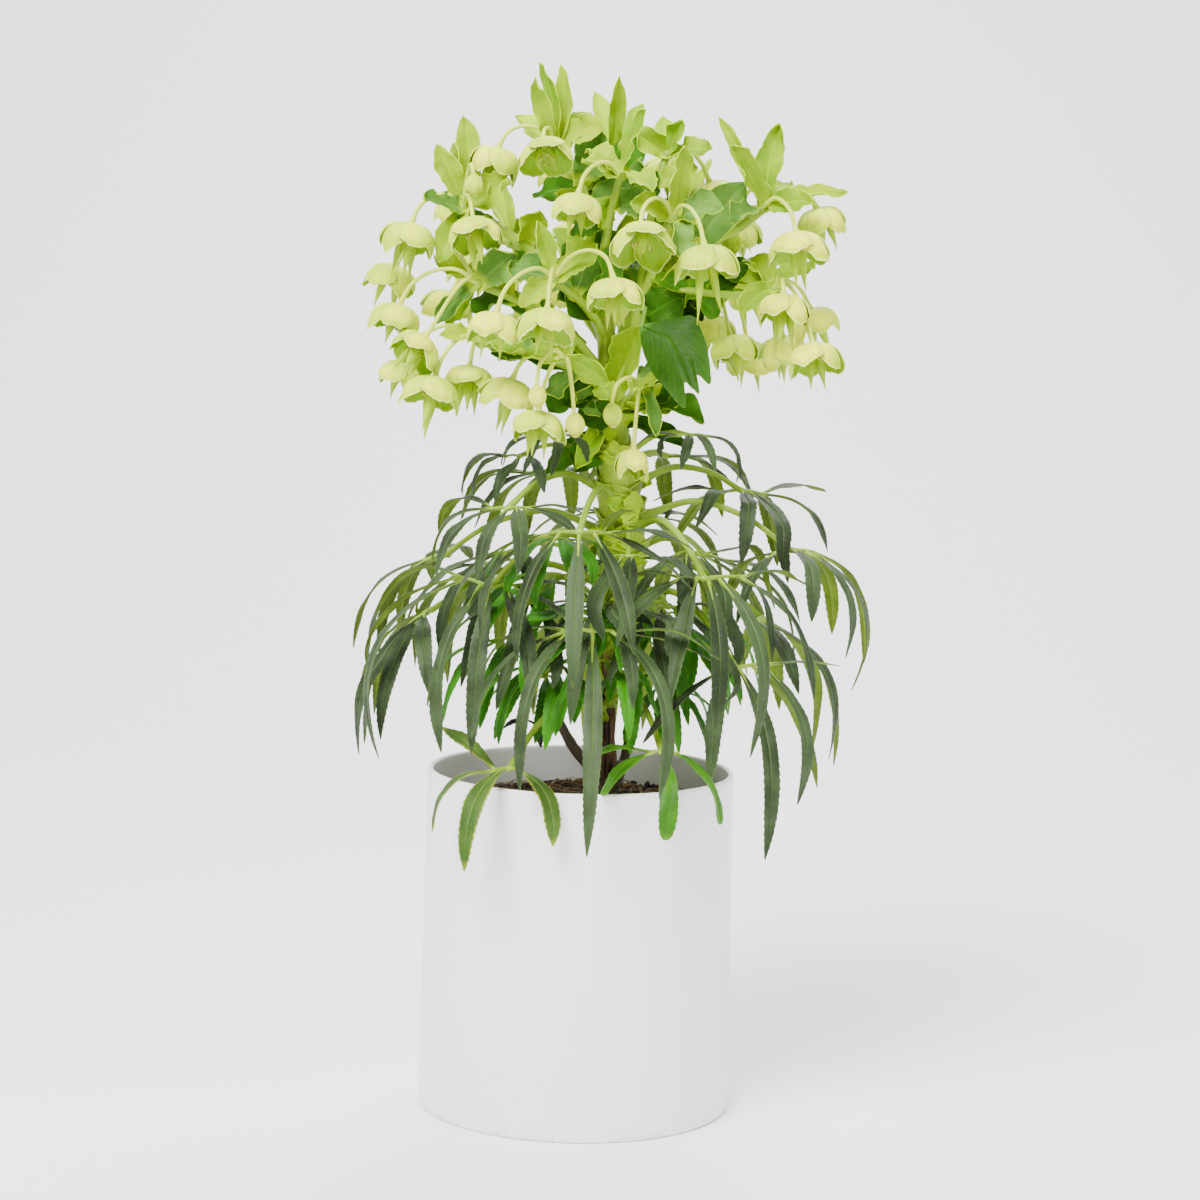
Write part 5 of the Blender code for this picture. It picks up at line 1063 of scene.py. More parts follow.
def leaflet(skin, chain, side, width, draw, tone, pitch, tooth, fine, shape=LEAFLET_SHAPE):
    """Narrow toothed leaflet: sunken midrib above, raised rib below, halves slightly arched."""
    length = polyline_reach(chain)[-1]
    count = max(5, round(length * 0.76 / pitch))
    steps = ((0.0, 0.0), (0.45, 0.5), (0.84, 1.0)) if fine else ((0.0, 0.0), (0.8, 1.0))
    t = [0.0, 0.03, 0.07, 0.12, 0.17, 0.22]
    rise = [0.0] * len(t)
    for k in range(count):
        t += [0.235 + 0.75 * (k + part) / count for part, _ in steps]
        rise += [up for _, up in steps]
    t, rise = np.array(t + [1.0]), np.array(rise + [0.0])
    path = stations(smooth_path(chain, 3), t)
    outline = np.interp(t, LEAFLET_PLACES, shape)
    half = 0.5 * width * outline
    across, top = carried(path, side)
    path = path + across * (draw.uniform(-3.0, 3.0) * np.sin(np.pi * t))[:, None]
    swing = wander(draw, 2)
    across, top = turn_about(across, top, (0.10 + 0.30 * t) * swing(t * 0.8) * np.clip(t * 5, 0, 1))
    u = np.array(ACROSS_FINE if fine else ACROSS_COARSE)
    x = u[None, :] * half[:, None]
    ripple = wander(draw, 3)
    edge = tooth * rise * np.clip(outline * 1.5, 0, 1) * (1.0 + 0.3 * ripple(t * 6.0))
    x[:, 0] -= edge
    x[:, -1] += edge
    share = np.abs(u)[None, :]
    fold = draw.uniform(0.20, 0.42)
    rise_up = half[:, None] * (fold * share - 0.26 * share ** 2)
    left = (u < 0)[None, :]
    wave = np.where(left, ripple(t * 2.2)[:, None], swing(t * 2.6 + 0.3)[:, None])
    rise_up = rise_up + 0.55 * wave * share ** 2 * np.clip(outline, 0, 1)[:, None]
    groove = 0.5 * np.exp(-(u / 0.09) ** 2)[None, :] * np.interp(t, [0, 0.1, 1], [0.3, 1.0, 0.25])[:, None]
    rib = np.exp(-(u / 0.1) ** 2)[None, :] * np.interp(t, [0, 0.2, 1], [0.9, 0.75, 0.1])[:, None]
    upper = laid_out(path, across, top, x, rise_up - groove)
    lower = laid_out(path, across, top, x, rise_up - BLADE_THICKNESS - rib)
    skin.sheet(upper, 0.0, (0, 1, 0), tone, across=0.5 + 0.5 * u[None, :], length=t[:, None], lower=lower)


def make_leaves(settings):
    """Every pedate leaf: grooved petiole, two side arms and toothed leaflets, one piece for each."""
    finishes = leaf_finishes(settings)
    chains = leaflet_paths()
    for number, (name, leaf) in enumerate((*LEAVES.items(), *MORE_LEAVES.items())):
        draw = random.Random(SEEDS["leaves"] + number)
        young = name.startswith(("young", "rim"))
        kinds = finishes[name if name in finishes else "young" if young else "grown"]
        fine = "back" not in name and name in LEAVES
        skin = Skin()
        petiole = petiole_path(leaf["root"], leaf["hub"])
        path = resample(smooth_path(petiole, 6), PETIOLE_POINTS)
        slim = 1.0 if name in LEAVES else 0.75
        shares = np.linspace(0, 1, PETIOLE_POINTS)
        thick = np.interp(shares, [0, 0.05, 0.16, 0.85, 1.0], [2.1, 1.55, 1.12, 0.82, 1.0])
        skin.tube(path, slim * thick * settings.stalk_radius / MM, 12, 2, draw.uniform(0.0, 0.5), groove=0.34)
        arms = resample(smooth_path(arm_path(leaf), 6), ARM_POINTS)
        out = np.abs(np.linspace(-1, 1, ARM_POINTS))
        arm_thick = slim * ARM_RADIUS * np.interp(out, [0, 0.2, 1], [1.05, 0.82, 0.6])
        skin.tube(arms, arm_thick, 9, 2, 0.7, groove=0.3, flat=0.8)
        skin.lump(vec(*leaf["hub"]), slim * vec(2.7, 2.5, 1.9), 2, 1.0)
        for index, (_, azimuth, length, _, _) in enumerate(leaf["leaflets"]):
            chain = chains[name, index]
            side = np.cross(heading(azimuth), vec(0, 0, 1))
            width = leaf["width"] * (0.74 + 0.18 * min(length / 100.0, 1.0))
            skin.tube(resample(chain[:3], 5) - vec(0, 0, 0.4), slim * np.linspace(1.25, 0.6, 5), 6, 2, 0.8)
            shape = ROUNDED_SHAPE if name == "rim_right" else LEAFLET_SHAPE
            leaflet(skin, chain, side, width * (1.1 if young else 1.0), draw, draw.random(),
                    settings.tooth_pitch / MM, settings.tooth / MM * (1.35 if name == "rim_left" else 1.0),
                    fine, shape)
        slot = "leaf_young" if young else "leaf"
        skin.piece("pedate_" + name, kinds, slot, *(["leaf_" + name] if name in LEAVES else []))


def bell_profile(share, reach, mouth):
    """Distance from the axis and depth along it, in bell sizes, down one sepal."""
    r = [0.06, 0.80, 1.06, mouth * 0.97]
    a = [0.0, -0.05, 0.46, reach]
    s = share
    weights = ((1 - s) ** 3, 3 * (1 - s) ** 2 * s, 3 * (1 - s) * s ** 2, s ** 3)
    return sum(w * v for w, v in zip(weights, r)), sum(w * v for w, v in zip(weights, a))


def sepal(skin, place, axis, u, v, size, slim, centre, mouth, reach, draw, tone, sides, fine):
    """Broad sepal with an uneven rim; sides says if its left and right edges lie outside or tucked in."""
    rows, columns = (15, 17) if fine else (10, 11)
    w = np.linspace(-1.0, 1.0, columns)[None, :]
    rim = wander(draw, 4)
    pleat = wander(draw, 3)
    tip_point = draw.uniform(-0.02, 0.09)
    lean = draw.uniform(-0.25, 0.25)
    outline = 1.0 - 0.24 * np.abs(w - lean * 0.4) ** 2.4 + tip_point * (1 - np.abs(w - lean)).clip(0) ** 1.6
    outline = outline + 0.04 * rim(w * 1.2 + 0.5)
    share = np.linspace(0.0, 1.0, rows)[:, None] * outline
    r, a = bell_profile(share, reach, mouth)
    spread = np.radians(48.0) * (1.0 - 0.20 * share ** 2.5)
    angle = math.radians(centre) + w * spread
    dome = 0.10 * (1 - w ** 2) * np.sin(np.pi * np.clip(share, 0, 1) * 0.8)
    offset = np.where(w < 0, sides[0], sides[1]) * (0.030 + 0.055 * np.abs(w))
    ruffle = 0.045 * pleat(w * 1.3 + 0.4) * share ** 4
    flare = draw.uniform(-0.06, 0.08) * share ** 6
    r = r * slim * (1.0 + dome + offset + ruffle + flare)
    a = a + 0.05 * pleat(w * 1.1 + 0.1) * share ** 3
    spoke = np.cos(angle)[:, :, None] * u + np.sin(angle)[:, :, None] * v
    upper = place + axis * (a * BELL_DEPTH * size)[:, :, None] + spoke * (r * BELL_RADIUS * size)[:, :, None]
    skin.sheet(upper, np.linspace(0.7, 0.38, rows)[:, None], (0, 1, 0), tone)


def carpel(skin, seat, axis, spoke, length, finish, draw):
    """Inflated pod that narrows into a long, slightly bowed style."""
    bow = spoke * (0.30 + 0.14 * draw.random())
    end = seat + axis * length + spoke * length * 0.16
    path = bezier(seat, seat + axis * length * 0.3 + bow * 7.0, seat + axis * length * 0.66 + bow * 9.0,
                  end, 17)
    t = np.linspace(0, 1, len(path))
    thick = np.interp(t, [0, 0.12, 0.3, 0.5, 0.66, 0.82, 1.0], [2.0, 3.2, 3.5, 3.0, 1.9, 0.9, 0.2])
    side = np.cross(axis, spoke)
    skin.tube(path, thick, 9, finish, draw.random(), side=side, flat=0.72)


def stamens(skin, seat, axis, u, v, count, depth, finish, draw):
    """Ring of thin filaments, each with a small rounded anther."""
    for k in range(count):
        a = 2 * math.pi * (k + draw.uniform(-0.3, 0.3)) / count
        spoke = math.cos(a) * u + math.sin(a) * v
        reach = depth * draw.uniform(0.36, 0.56)
        start = seat + spoke * draw.uniform(2.4, 3.6)
        end = start + axis * reach + spoke * draw.uniform(0.6, 2.4)
        path = np.array([start, 0.5 * (start + end) + spoke * 0.5, end])
        skin.tube(path, [0.28, 0.24, 0.2], 4, finish, 0.8)
        turn = np.stack([np.cross(axis, spoke), spoke, axis], axis=1)
        skin.lump(end + axis * 0.7, vec(0.75, 0.55, 1.15), finish + 1, draw.random(), turn, 3, 6)


def flower(skin, node, row, turn, draw, mouth=None, styles=None, tip=None, slim=1.0):
    """One bell on its arched stalk: sepals, stamens and carpels in a single skin."""
    row = (*row[:4], tip or row[4], row[5])
    top, axis, size = flower_pose(row)
    fine = row[1] < FINE_BEFORE
    depth = BELL_DEPTH * size
    path = resample(smooth_path(pedicel_path(node, top, axis), 5), 22)
    shares = np.linspace(0, 1, len(path))
    thick = PEDICEL_RADIUS * np.interp(shares, [0, 0.1, 0.5, 0.9, 1.0], [1.35, 1.05, 0.92, 1.05, 1.7])
    skin.tube(path, thick, 8, 2, draw.uniform(0.2, 0.9))
    skin.lump(top + axis * 0.3, vec(2.2, 2.2, 1.1), 6, 0.5, look_along(axis), 5, 9)
    u, v, _ = look_along(axis).T
    mouth = mouth or draw.uniform(0.90, 1.08)
    tone = draw.random()
    for k, sides in enumerate(((1, 1), (-1, -1), (1, 1), (-1, 1), (-1, -1))):
        reach = draw.uniform(0.94, 1.06) - 0.05 * sum(sides)
        sepal(skin, top, axis, u, v, size, slim, k * 72 + 35 + turn + draw.uniform(-5, 5),
              mouth * draw.uniform(0.94, 1.06), reach, draw, 0.5 * tone + 0.5 * draw.random(), sides, fine)
    seat = top + axis * depth * 0.16
    skin.lump(seat, vec(4.2, 4.2, 2.6), 3, 0.5, look_along(axis), 4, 10)
    stamens(skin, seat, axis, u, v, STAMENS if fine else STAMENS_BEHIND,
            depth * (1.0 + 0.2 * (row[4] > 30)), 4, draw)
    styles = styles or draw.uniform(1.35, 1.8)
    pods = draw.choice((2, 2, 3))
    start = draw.uniform(0, 2 * math.pi)
    for k in range(pods):
        a = start + 2 * math.pi * k / pods
        spoke = math.cos(a) * u + math.sin(a) * v
        length = depth * styles * draw.uniform(0.94, 1.06)
        carpel(skin, seat + axis * 1.0 + spoke * 1.7, axis, spoke, length, 3, draw)


def look_along(axis):
    """Turn that lays a form's own third axis along the given one."""
    u = unit(np.cross(axis, vec(0.31, 0.95, 0.05)))
    return np.stack([u, np.cross(axis, u), axis], axis=1)


def closed_bud(skin, node, x, y, z, size, draw):
    """Unopened bell: five sepals pressed together into an egg."""
    axis = unit(vec(0.1, -0.15, -1.0))
    top = vec(x, y, z) - axis * 7.0 * size
    path = resample(smooth_path(pedicel_path(node, top, axis), 5), 16)
    skin.tube(path, PEDICEL_RADIUS * np.linspace(1.15, 0.9, len(path)), 8, 2, 0.5)
    u, v, _ = look_along(axis).T
    w = np.linspace(-1, 1, 7)[None, :]
    share = np.linspace(0.0, 1.0, 10)[:, None]
    for k in range(SEPALS):
        r = 5.4 * size * np.sin(np.pi * (0.06 + 0.90 * share)) ** 0.7 * (1 + 0.05 * (1 - w ** 2) - 0.03 * w)
        angle = math.radians(360 / SEPALS * k) + w * math.radians(44)
        spoke = np.cos(angle)[:, :, None] * u + np.sin(angle)[:, :, None] * v
        upper = top + axis * (14.0 * size * share + 0.0 * w)[:, :, None] + spoke * r[:, :, None]
        skin.sheet(upper, 0.5, (0, 1, 0), draw.random())


def bract(skin, path, side, width, draw, kind="lime", cup=0.34, rows=21, columns=11):
    """Leafy bract: broad blade with a clasping foot, waved margins and a blunt point."""
    t = np.linspace(0, 1, rows)
    broad = draw.uniform(0.5, 0.66)
    places = [0, 0.12, 0.3, broad, 0.5 + 0.5 * broad, 0.93, 0.98, 1.0]
    half = 0.5 * width * np.interp(t, places, [0.40, 0.50, 0.78, 1.0, 0.80, 0.38, 0.18, 0.05])
    points = stations(smooth_path(path, 3), t)
    across, top = carried(points, side)
    swing = wander(draw, 2)
    across, top = turn_about(across, top, 0.5 * swing(t * 0.9) * t)
    u = np.linspace(-1, 1, columns)[None, :]
    drift_left, drift_right = wander(draw, 3), wander(draw, 3)
    ripple = np.where(u < 0, drift_left(t * 2.3)[:, None], drift_right(t * 2.3 + 0.2)[:, None])
    uneven = np.where(u < 0, drift_right(t * 3.1 + 0.6)[:, None], drift_left(t * 2.9 + 0.1)[:, None])
    x = u * half[:, None] * (1 + 0.13 * uneven * np.abs(u))
    lift = cup * half[:, None] * np.abs(u) ** 1.4 + 0.20 * width * ripple * u ** 2
    lift = lift + 0.05 * width * drift_left(t * 6.0)[:, None] * u ** 4 - 0.4 * np.exp(-(u / 0.10) ** 2)
    upper = laid_out(points, across, top, x, lift)
    skin.sheet(upper, BRACT_THICKNESS, BRACT_KINDS[kind], draw.random())


def bract_path(node, base, tip):
    """Route of a bract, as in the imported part."""
    base, tip = vec(*base), vec(*tip)
    run = tip - base
    level = vec(run[0], run[1], 0.0)
    level = unit(level) if np.linalg.norm(level) > 2 else heading(-90)
    bow = 0.10 * np.linalg.norm(run) * (vec(0, 0, 1) if run[2] < 0.6 * np.linalg.norm(run) else -level)
    return bezier(node, base + bow * 0.5, base + 0.6 * run + bow, tip, 8)


def turned_side(path, draw):
    """Side direction that shows the face of a blade to the nearer side of the plant, a little at random."""
    run = unit(path[-1] - path[0])
    out = vec(0, -1 if path[-1][1] < 16 else 1, 0)
    face = out * 0.9 + vec(draw.uniform(-0.7, 0.7), 0, 0.55 + draw.uniform(-0.35, 0.35))
    side = np.cross(run, face)
    return unit(side) if np.linalg.norm(side) > 0.4 else unit(np.cross(run, vec(0.2, 0, 1)))


def make_sprays(settings):
    """Every spray: its bells in one piece, its twig and bracts in another."""
    bell_kinds = bell_finishes(settings)
    bract_kinds = bract_finishes(settings)
    for number, (name, spray) in enumerate(SPRAYS.items()):
        turns = random.Random(SEEDS["turns"] + number)
        draw = random.Random(SEEDS["sprays"] + number)
        node = vec(*spray["node"])
        bells, bracts = Skin(), Skin()
        for index, row in enumerate(spray["flowers"]):
            special = SPECIAL_BELLS.get((name, index), {})
            turn = turns.uniform(0, 72)
            flower(bells, node, row, draw=draw, **{"turn": turn, **special})
        for x, y, z, size in spray["buds"]:
            closed_bud(bells, node, x, y, z, size, draw)
        bells.piece("bells_" + name, bell_kinds, "bell", "spray_" + name, crease=60.0)
        branch = smooth_path(BRANCHES[spray["on"]][0], 1)
        out = unit(branch[-1] - branch[-2])
        twig = resample(smooth_path([branch[-1] - out * 3.0, branch[-1] + out * 3.3, node], 5), 12)
        radius = BRANCHES[spray["on"]][2]
        bracts.tube(twig, radius * np.linspace(1.0, 1.05, 12), 9, 2, 0.5)
        bracts.lump(node, vec(3.7, 3.7, 3.2), 2, 0.6)
        for base, tip, width in spray["bracts"]:
            path = bract_path(node, base, tip)
            upright = tip[2] > base[2] + 18
            kind = "lime" if upright else draw.choice(("lime", "lime", "grey"))
            wide = width * (1.02 if upright else 1.25)
            bract(bracts, path, turned_side(path, draw), wide, draw, kind, draw.uniform(0.3, 0.7))
        bracts.piece("bracts_" + name, bract_kinds, "bell", "spray_" + name, crease=60.0)


def make_inner_bracts(settings):
    """Leafy bracts inside the head and down the trunk, and more of them along every branch."""
    draw = random.Random(SEEDS["inner bracts"])
    skin = Skin()
    for source, share, tip, width, kind, cup in INNER_BRACTS:
        base = along(smooth_path(BRANCHES[source][0], 4), share) if isinstance(source, str) else vec(*source)
        tip = vec(*tip)
        bow = vec(0, 0, 0.14 * np.linalg.norm(tip - base)) if tip[2] < base[2] + 12 else vec(0, 0, 0)
        path = bezier(base, base + 0.35 * (tip - base) + bow, base + 0.7 * (tip - base) + bow, tip, 8)
        bract(skin, path, turned_side(path, draw), width, draw, kind, cup)
    for k in range(TRUNK_BRACTS):
        z, azimuth = 408 - 6.4 * k, -90 + 62 * math.sin(2.4 * k) + (180 if k % 4 == 3 else 0)
        out = heading(azimuth)
        base = trunk_axis(z) + out * (trunk_radius(z) - 1.0)
        tip = base + out * draw.uniform(5, 9) + vec(0, 0, draw.uniform(9, 15) * draw.choice((1, 1, -1)))
        path = bezier(base, base + out * 3.0, 0.4 * base + 0.6 * tip + out * 2.0, tip, 8)
        side = np.cross(unit(tip - base), out)
        bract(skin, path, side, draw.uniform(9, 14), draw, "pale", draw.uniform(-0.3, 0.5), 13, 7)
    bells = np.array([row[:3] for spray in SPRAYS.values() for row in spray["flowers"]], dtype=float)
    for points, _, _ in BRANCHES.values():
        branch = smooth_path(points, 4)
        for k in range(FILLERS_PER_BRANCH):
            share = (k + draw.uniform(0.2, 0.9)) / FILLERS_PER_BRANCH
            base = along(branch, 0.15 + 0.85 * share)
            for _ in range(FILLER_TRIES):
                length = draw.uniform(22, 34)
                way = unit(heading(draw.uniform(0, 360)) + vec(0, 0, draw.uniform(-0.7, 1.3)))
                tip = base + way * length
                near_tip = tip - way * 0.3 * length + vec(0, 0, 2)
                path = bezier(base, base + 0.3 * way * length, near_tip, tip, 8)
                room = np.linalg.norm(path[3:, None, :] - bells[None, :, :], axis=2).min()
                hides = any(np.hypot(path[:, 0] - x, path[:, 2] - z).min() < radius + 6
                            for x, z, radius in OPENINGS)
                outward = np.hypot(tip[0] - 8, tip[1]) > np.hypot(base[0] - 8, base[1])
                if room > BELL_ROOM and tip[1] > FILLER_FRONT and outward and not hides:
                    kind = draw.choice(("dark", "dark", "grey") if share < 0.6 else ("lime", "grey"))
                    side = turned_side(path, draw)
                    bract(skin, path, side, draw.uniform(13, 20), draw, kind, rows=15, columns=9)
                    break
    skin.piece("inner_bracts", bract_finishes(settings), "bract_dark", crease=60.0)


def make_dark_bract(settings):
    """Broad dark bract in front of the right branch, its end cut into lobes."""
    left = [(27.4, -30, 460.6), (27.2, -33, 454.6), (29.0, -38, 445.2), (33.8, -44, 435.4),
            (40.5, -49, 428.8), (47.2, -53, 422.6)]
    right = [(28.4, -30, 461.5), (35.7, -33, 463.9), (45.0, -37, 466.4), (55.5, -42, 468.8),
             (60.4, -46, 460.7), (64.4, -49, 450.6), (65.6, -54, 436.0)]
    count, columns = 34, 41
    t = np.linspace(0, 1, count)
    edges = [stations(smooth_path(edge, 6), t) for edge in (left, right)]
    u = np.linspace(-1, 1, columns)
    mix = (0.5 + 0.5 * u)[None, :, None]
    upper = edges[0][:, None, :] * (1 - mix) + edges[1][:, None, :] * mix
    drop = np.interp(u, [-1, -0.86, -0.7, -0.5, -0.32, -0.12, 0.06, 0.22, 0.42, 0.6, 0.8, 0.93, 1.0],
                     [2, 8, 9, 4, -3, -2, 4, 8, -3, -1, 5, 6, 3])
    draw = random.Random(SEEDS["lobed bract"])
    ripple = wander(draw, 3)
    width = np.linalg.norm(edges[1] - edges[0], axis=1)[:, None]
    lift = -0.10 * width * u[None, :] ** 2 - 0.8 * np.exp(-(u / 0.05) ** 2)[None, :]
    lift = lift + (1.2 * ripple(t * 1.9))[:, None] * np.abs(u)[None, :]
    stretch = np.clip((t - 0.6) / 0.4, 0, 1)[:, None] ** 1.3 * drop[None, :]
    front = unit(np.cross(edges[1][20] - edges[0][20], upper[26, 20] - upper[10, 20]))
    front = front if front[1] < 0 else -front
    upper = upper + front * lift[:, :, None] + unit(vec(0.42, -0.1, -1)) * stretch[:, :, None]
    skin = Skin()
    skin.sheet(upper[:, ::-1], 0.6, (0, 1, 0), 0.4)
    stalk = [(27, -6, 467), (30, -16, 471), (29.4, -25, 467), (28.2, -31.5, 460.4)]
    skin.tube(resample(smooth_path(stalk, 5), 16), np.linspace(1.7, 1.0, 16), 8, 2, 0.5)
    skin.piece("lobed_bract", dark_finishes(settings), "bract_dark", "bract_dark")


def make_stem(settings):
    """Trunk with its sheaths and old stubs, and the branches that carry the sprays."""
    draw = random.Random(SEEDS["stem"])
    skin = Skin()
    heights = np.arange(TRUNK[0][0] + 30.0, TRUNK[-1][0] + 0.1, 1.5)
    sides = TRUNK_FACETS
    turn = ring_angles(sides)
    rings = []
    for z in heights:
        x, y, _ = trunk_axis(z)
        radius = trunk_outline(z)
        woody = float(np.clip((292 - z) / 26, 0, 1))
        ridge = [noise.noise(Vector((3.2 * math.cos(a), 3.2 * math.sin(a), z * (0.03 + 0.02 * woody))))
                 for a in turn]
        fine = [noise.noise(Vector((9.0 * math.cos(a), 9.0 * math.sin(a), z * 0.05 + 7))) for a in turn]
        r = radius + np.array(ridge) * (0.8 + 0.7 * woody) + np.array(fine) * (0.35 + 0.6 * woody)
        rings.append(level_ring(r, z, turn, x, y))
    first = skin.add(rings, 0.5, np.linspace(0, 1, len(rings))[:, None], 0.5)
    skin.face(grid(len(rings), sides, first, around=True), 0)
    skin.cap(np.mean(rings[0], axis=0), 0.5, 0.5, first, sides, 0, turned_over=True)
    skin.cap(np.mean(rings[-1], axis=0), 0.5, 0.5, first + (len(rings) - 1) * sides, sides, 0)
    for points, r0, r1 in BRANCHES.values():
        path = resample(smooth_path(points, 6), 40)
        shares = np.linspace(0, 1, 40)
        thick = np.interp(shares, [0, 0.12, 1.0], [r0 * 1.2, r0, r1]) + 0.12 * wander(draw, 3)(shares * 4)
        skin.tube(path, thick, 12, 1, draw.random(), groove=0.12)
    for points, r0, r1 in STUBS:
        path = resample(smooth_path(points, 5), 22)
        skin.tube(path, np.linspace(r0, r1, 22) + 0.35 * wander(draw, 3)(np.linspace(0, 5, 22)), 11, 2,
                  draw.random())
    for leaf in (*LEAVES.values(), *MORE_LEAVES.values()):
        clasping_sheath(skin, leaf["root"], draw)
    for k in range(BARE_SHEATHS):
        clasping_sheath(skin, (404 - 7.5 * k, -75 + SHEATH_TURN * k), draw)
    skin.piece("sheathed_stem", stem_finishes(settings), "stem", "stem")


def clasping_sheath(skin, root, draw):
    """Foot of a petiole, wrapped round the trunk and standing off a little at its free rim."""
    z, azimuth = root
    woody = z < 290
    wrap = math.radians(draw.uniform(75, 105) if not woody else 50)
    tall = draw.uniform(13, 19) if not woody else 9
    rows, columns = 9, 17
    s = np.linspace(0, 1, rows)[:, None]
    w = np.linspace(-1, 1, columns)[None, :]
    rim = z + 2.5 - 9.0 * np.abs(w) ** 1.6 + 0.8 * wander(draw, 3)(w * 0.8)
    level = (z - tall) + (rim - (z - tall)) * s
    angle = math.radians(azimuth) + w * wrap
    radius = trunk_outline(level) + 0.25 + 0.9 * s
    radius = radius + (0.9 if woody else 3.6) * s ** 3 * np.exp(-(w / 0.75) ** 2)
    radius = radius + (0.5 if woody else 1.1) * s ** 2 * wander(draw, 3)(w * 1.8)
    x, y = trunk_at(level, 1) + radius * np.cos(angle), trunk_at(level, 2) + radius * np.sin(angle)
    upper = np.stack([x, y, level], axis=2)
    skin.sheet(upper[:, ::-1], 0.7, (3, 3, 3), draw.random())


def make_pot(settings):
    """Tall cylinder with a thin rounded rim and a slightly wider foot."""
    height, wall, floor = settings.height / MM, settings.wall / MM, settings.floor / MM
    rim, foot = settings.rim_radius / MM, settings.foot_radius / MM
    slope = (foot - rim) / height
    rounding = wall * 0.5
    hollow = 0.9
    profile = [(foot - 26.0, hollow), (foot - 12.0, hollow), (foot - 9.0, 0.0), (foot - 2.2, 0.0)]
    profile += [(foot - 2.2 + 2.2 * math.sin(a), 2.4 - 2.4 * math.cos(a)) for a in np.radians([25, 50, 75])]
    profile += [(foot - slope * z, z) for z in np.linspace(4.0, height - rounding - 0.6, 24)]
    middle = rim - rounding
    profile += [(middle + rounding * math.cos(a), height - rounding + rounding * math.sin(a))
                for a in np.radians([0, 22, 45, 68, 90, 112, 135, 158, 180])]
    profile += [(rim - wall + slope * (height - z), z) for z in np.linspace(height - 4.0, floor + 4.0, 16)]
    profile += [(foot - wall - 4.0, floor), (40.0, floor)]
    skin = Skin()
    rings = [level_ring(r, z, ring_angles(POT_SIDES)) for r, z in profile]
    first = skin.add(rings, 0.5, np.linspace(0, 1, len(rings))[:, None], 0.5)
    skin.face(grid(len(rings), POT_SIDES, first, around=True), 0)
    skin.cap(vec(0, 0, hollow), 0.5, 0.5, first, POT_SIDES, 0, turned_over=True)
    skin.cap(vec(0, 0, floor), 0.5, 0.5, first + (len(rings) - 1) * POT_SIDES, POT_SIDES, 0)
    skin.piece("glazed_pot", [glaze_finish(settings)], "pot", "pot", crease=40.0)


def make_soil(settings):
    """Crumbly soil with chips of bark and loose fibres."""
    draw = random.Random(SEEDS["soil"])
    reach = settings.radius / MM
    level = settings.level / MM
    turn = ring_angles(SOIL_SIDES)
    rows = [level_ring(reach, level - SOIL_DEPTH, turn)]
    for i in range(SOIL_RINGS):
        r = reach * (1 - (i / SOIL_RINGS) ** 0.9 * 0.97)
        row = []
        for a in turn:
            x, y = r * math.cos(a), r * math.sin(a)
            broad = noise.noise(Vector((x * 0.045, y * 0.045, 2.0)))
            lumps = noise.noise(Vector((x * 0.22, y * 0.22, 5.0)))
            crumb = noise.noise(Vector((x * 0.7, y * 0.7, 9.0)))
            mound = 3.5 * math.exp(-((x - 15) ** 2 + y ** 2) / 500.0)
            row.append((x, y, level - 0.8 + 2.2 * broad + 1.8 * lumps + 1.0 * crumb + mound))
        rows.append(np.array(row))
    skin = Skin()
    first = skin.add(rows, 0.5, 0.5, 0.15)
    skin.face(grid(len(rows), SOIL_SIDES, first, around=True), 0)
    skin.cap(np.mean(rows[-1], axis=0), 0.5, 0.15, first + SOIL_RINGS * SOIL_SIDES, SOIL_SIDES, 0)
    skin.cap(vec(0, 0, level - SOIL_DEPTH), 0.5, 0.15, first, SOIL_SIDES, 0, turned_over=True)
    for _ in range(settings.crumbs):
        r = (reach - 3.0) * math.sqrt(draw.random())
        a = draw.uniform(0, 2 * math.pi)
        size = draw.uniform(0.7, 2.6)
        turns = np.array(Matrix.Rotation(draw.uniform(0, 6), 3, Vector((draw.random(), draw.random(), 0.4))))
        spot = vec(r * math.cos(a), r * math.sin(a), level + draw.uniform(-0.6, 1.8))
        skin.lump(spot, vec(size, size * draw.uniform(0.5, 1.0), size * draw.uniform(0.3, 0.8)), 0,
                  draw.choice((0.0, 0.2, 0.5, 1.0)), turns, 3, 5)
    for _ in range(settings.fibres):
        r = (reach - 6.0) * math.sqrt(draw.random())
        a = draw.uniform(0, 2 * math.pi)
        way = heading(draw.uniform(0, 360)) * draw.uniform(5, 15)
        spot = vec(r * math.cos(a), r * math.sin(a), level + draw.uniform(0.5, 2.0))
        end = spot + way
        if math.hypot(end[0], end[1]) > reach - 2.0:
            continue
        bow = vec(draw.uniform(-3, 3), draw.uniform(-3, 3), draw.uniform(0.5, 3.5))
        path = bezier(spot, spot + way * 0.3 + bow, spot + way * 0.7 + bow * 0.6, end, 5)
        skin.tube(path, draw.uniform(0.22, 0.6), 4, 1, draw.random())
    finishes = [soil_finish("Dark soil", settings.dark, settings.brown, settings.fleck),
                stalk_finish("Dry fibre", *shades(settings.fibre, 0.5, 1.0, 1.3), 0.9)]
    skin.piece("crumbly_soil", finishes, "soil", "soil")


def tint(name, description, value):
    return FloatVectorProperty(name=name, description=description, subtype="COLOR", default=value)


def distance(name, description, millimetres):
    return FloatProperty(name=name, description=description, unit="LENGTH", default=millimetres * MM)


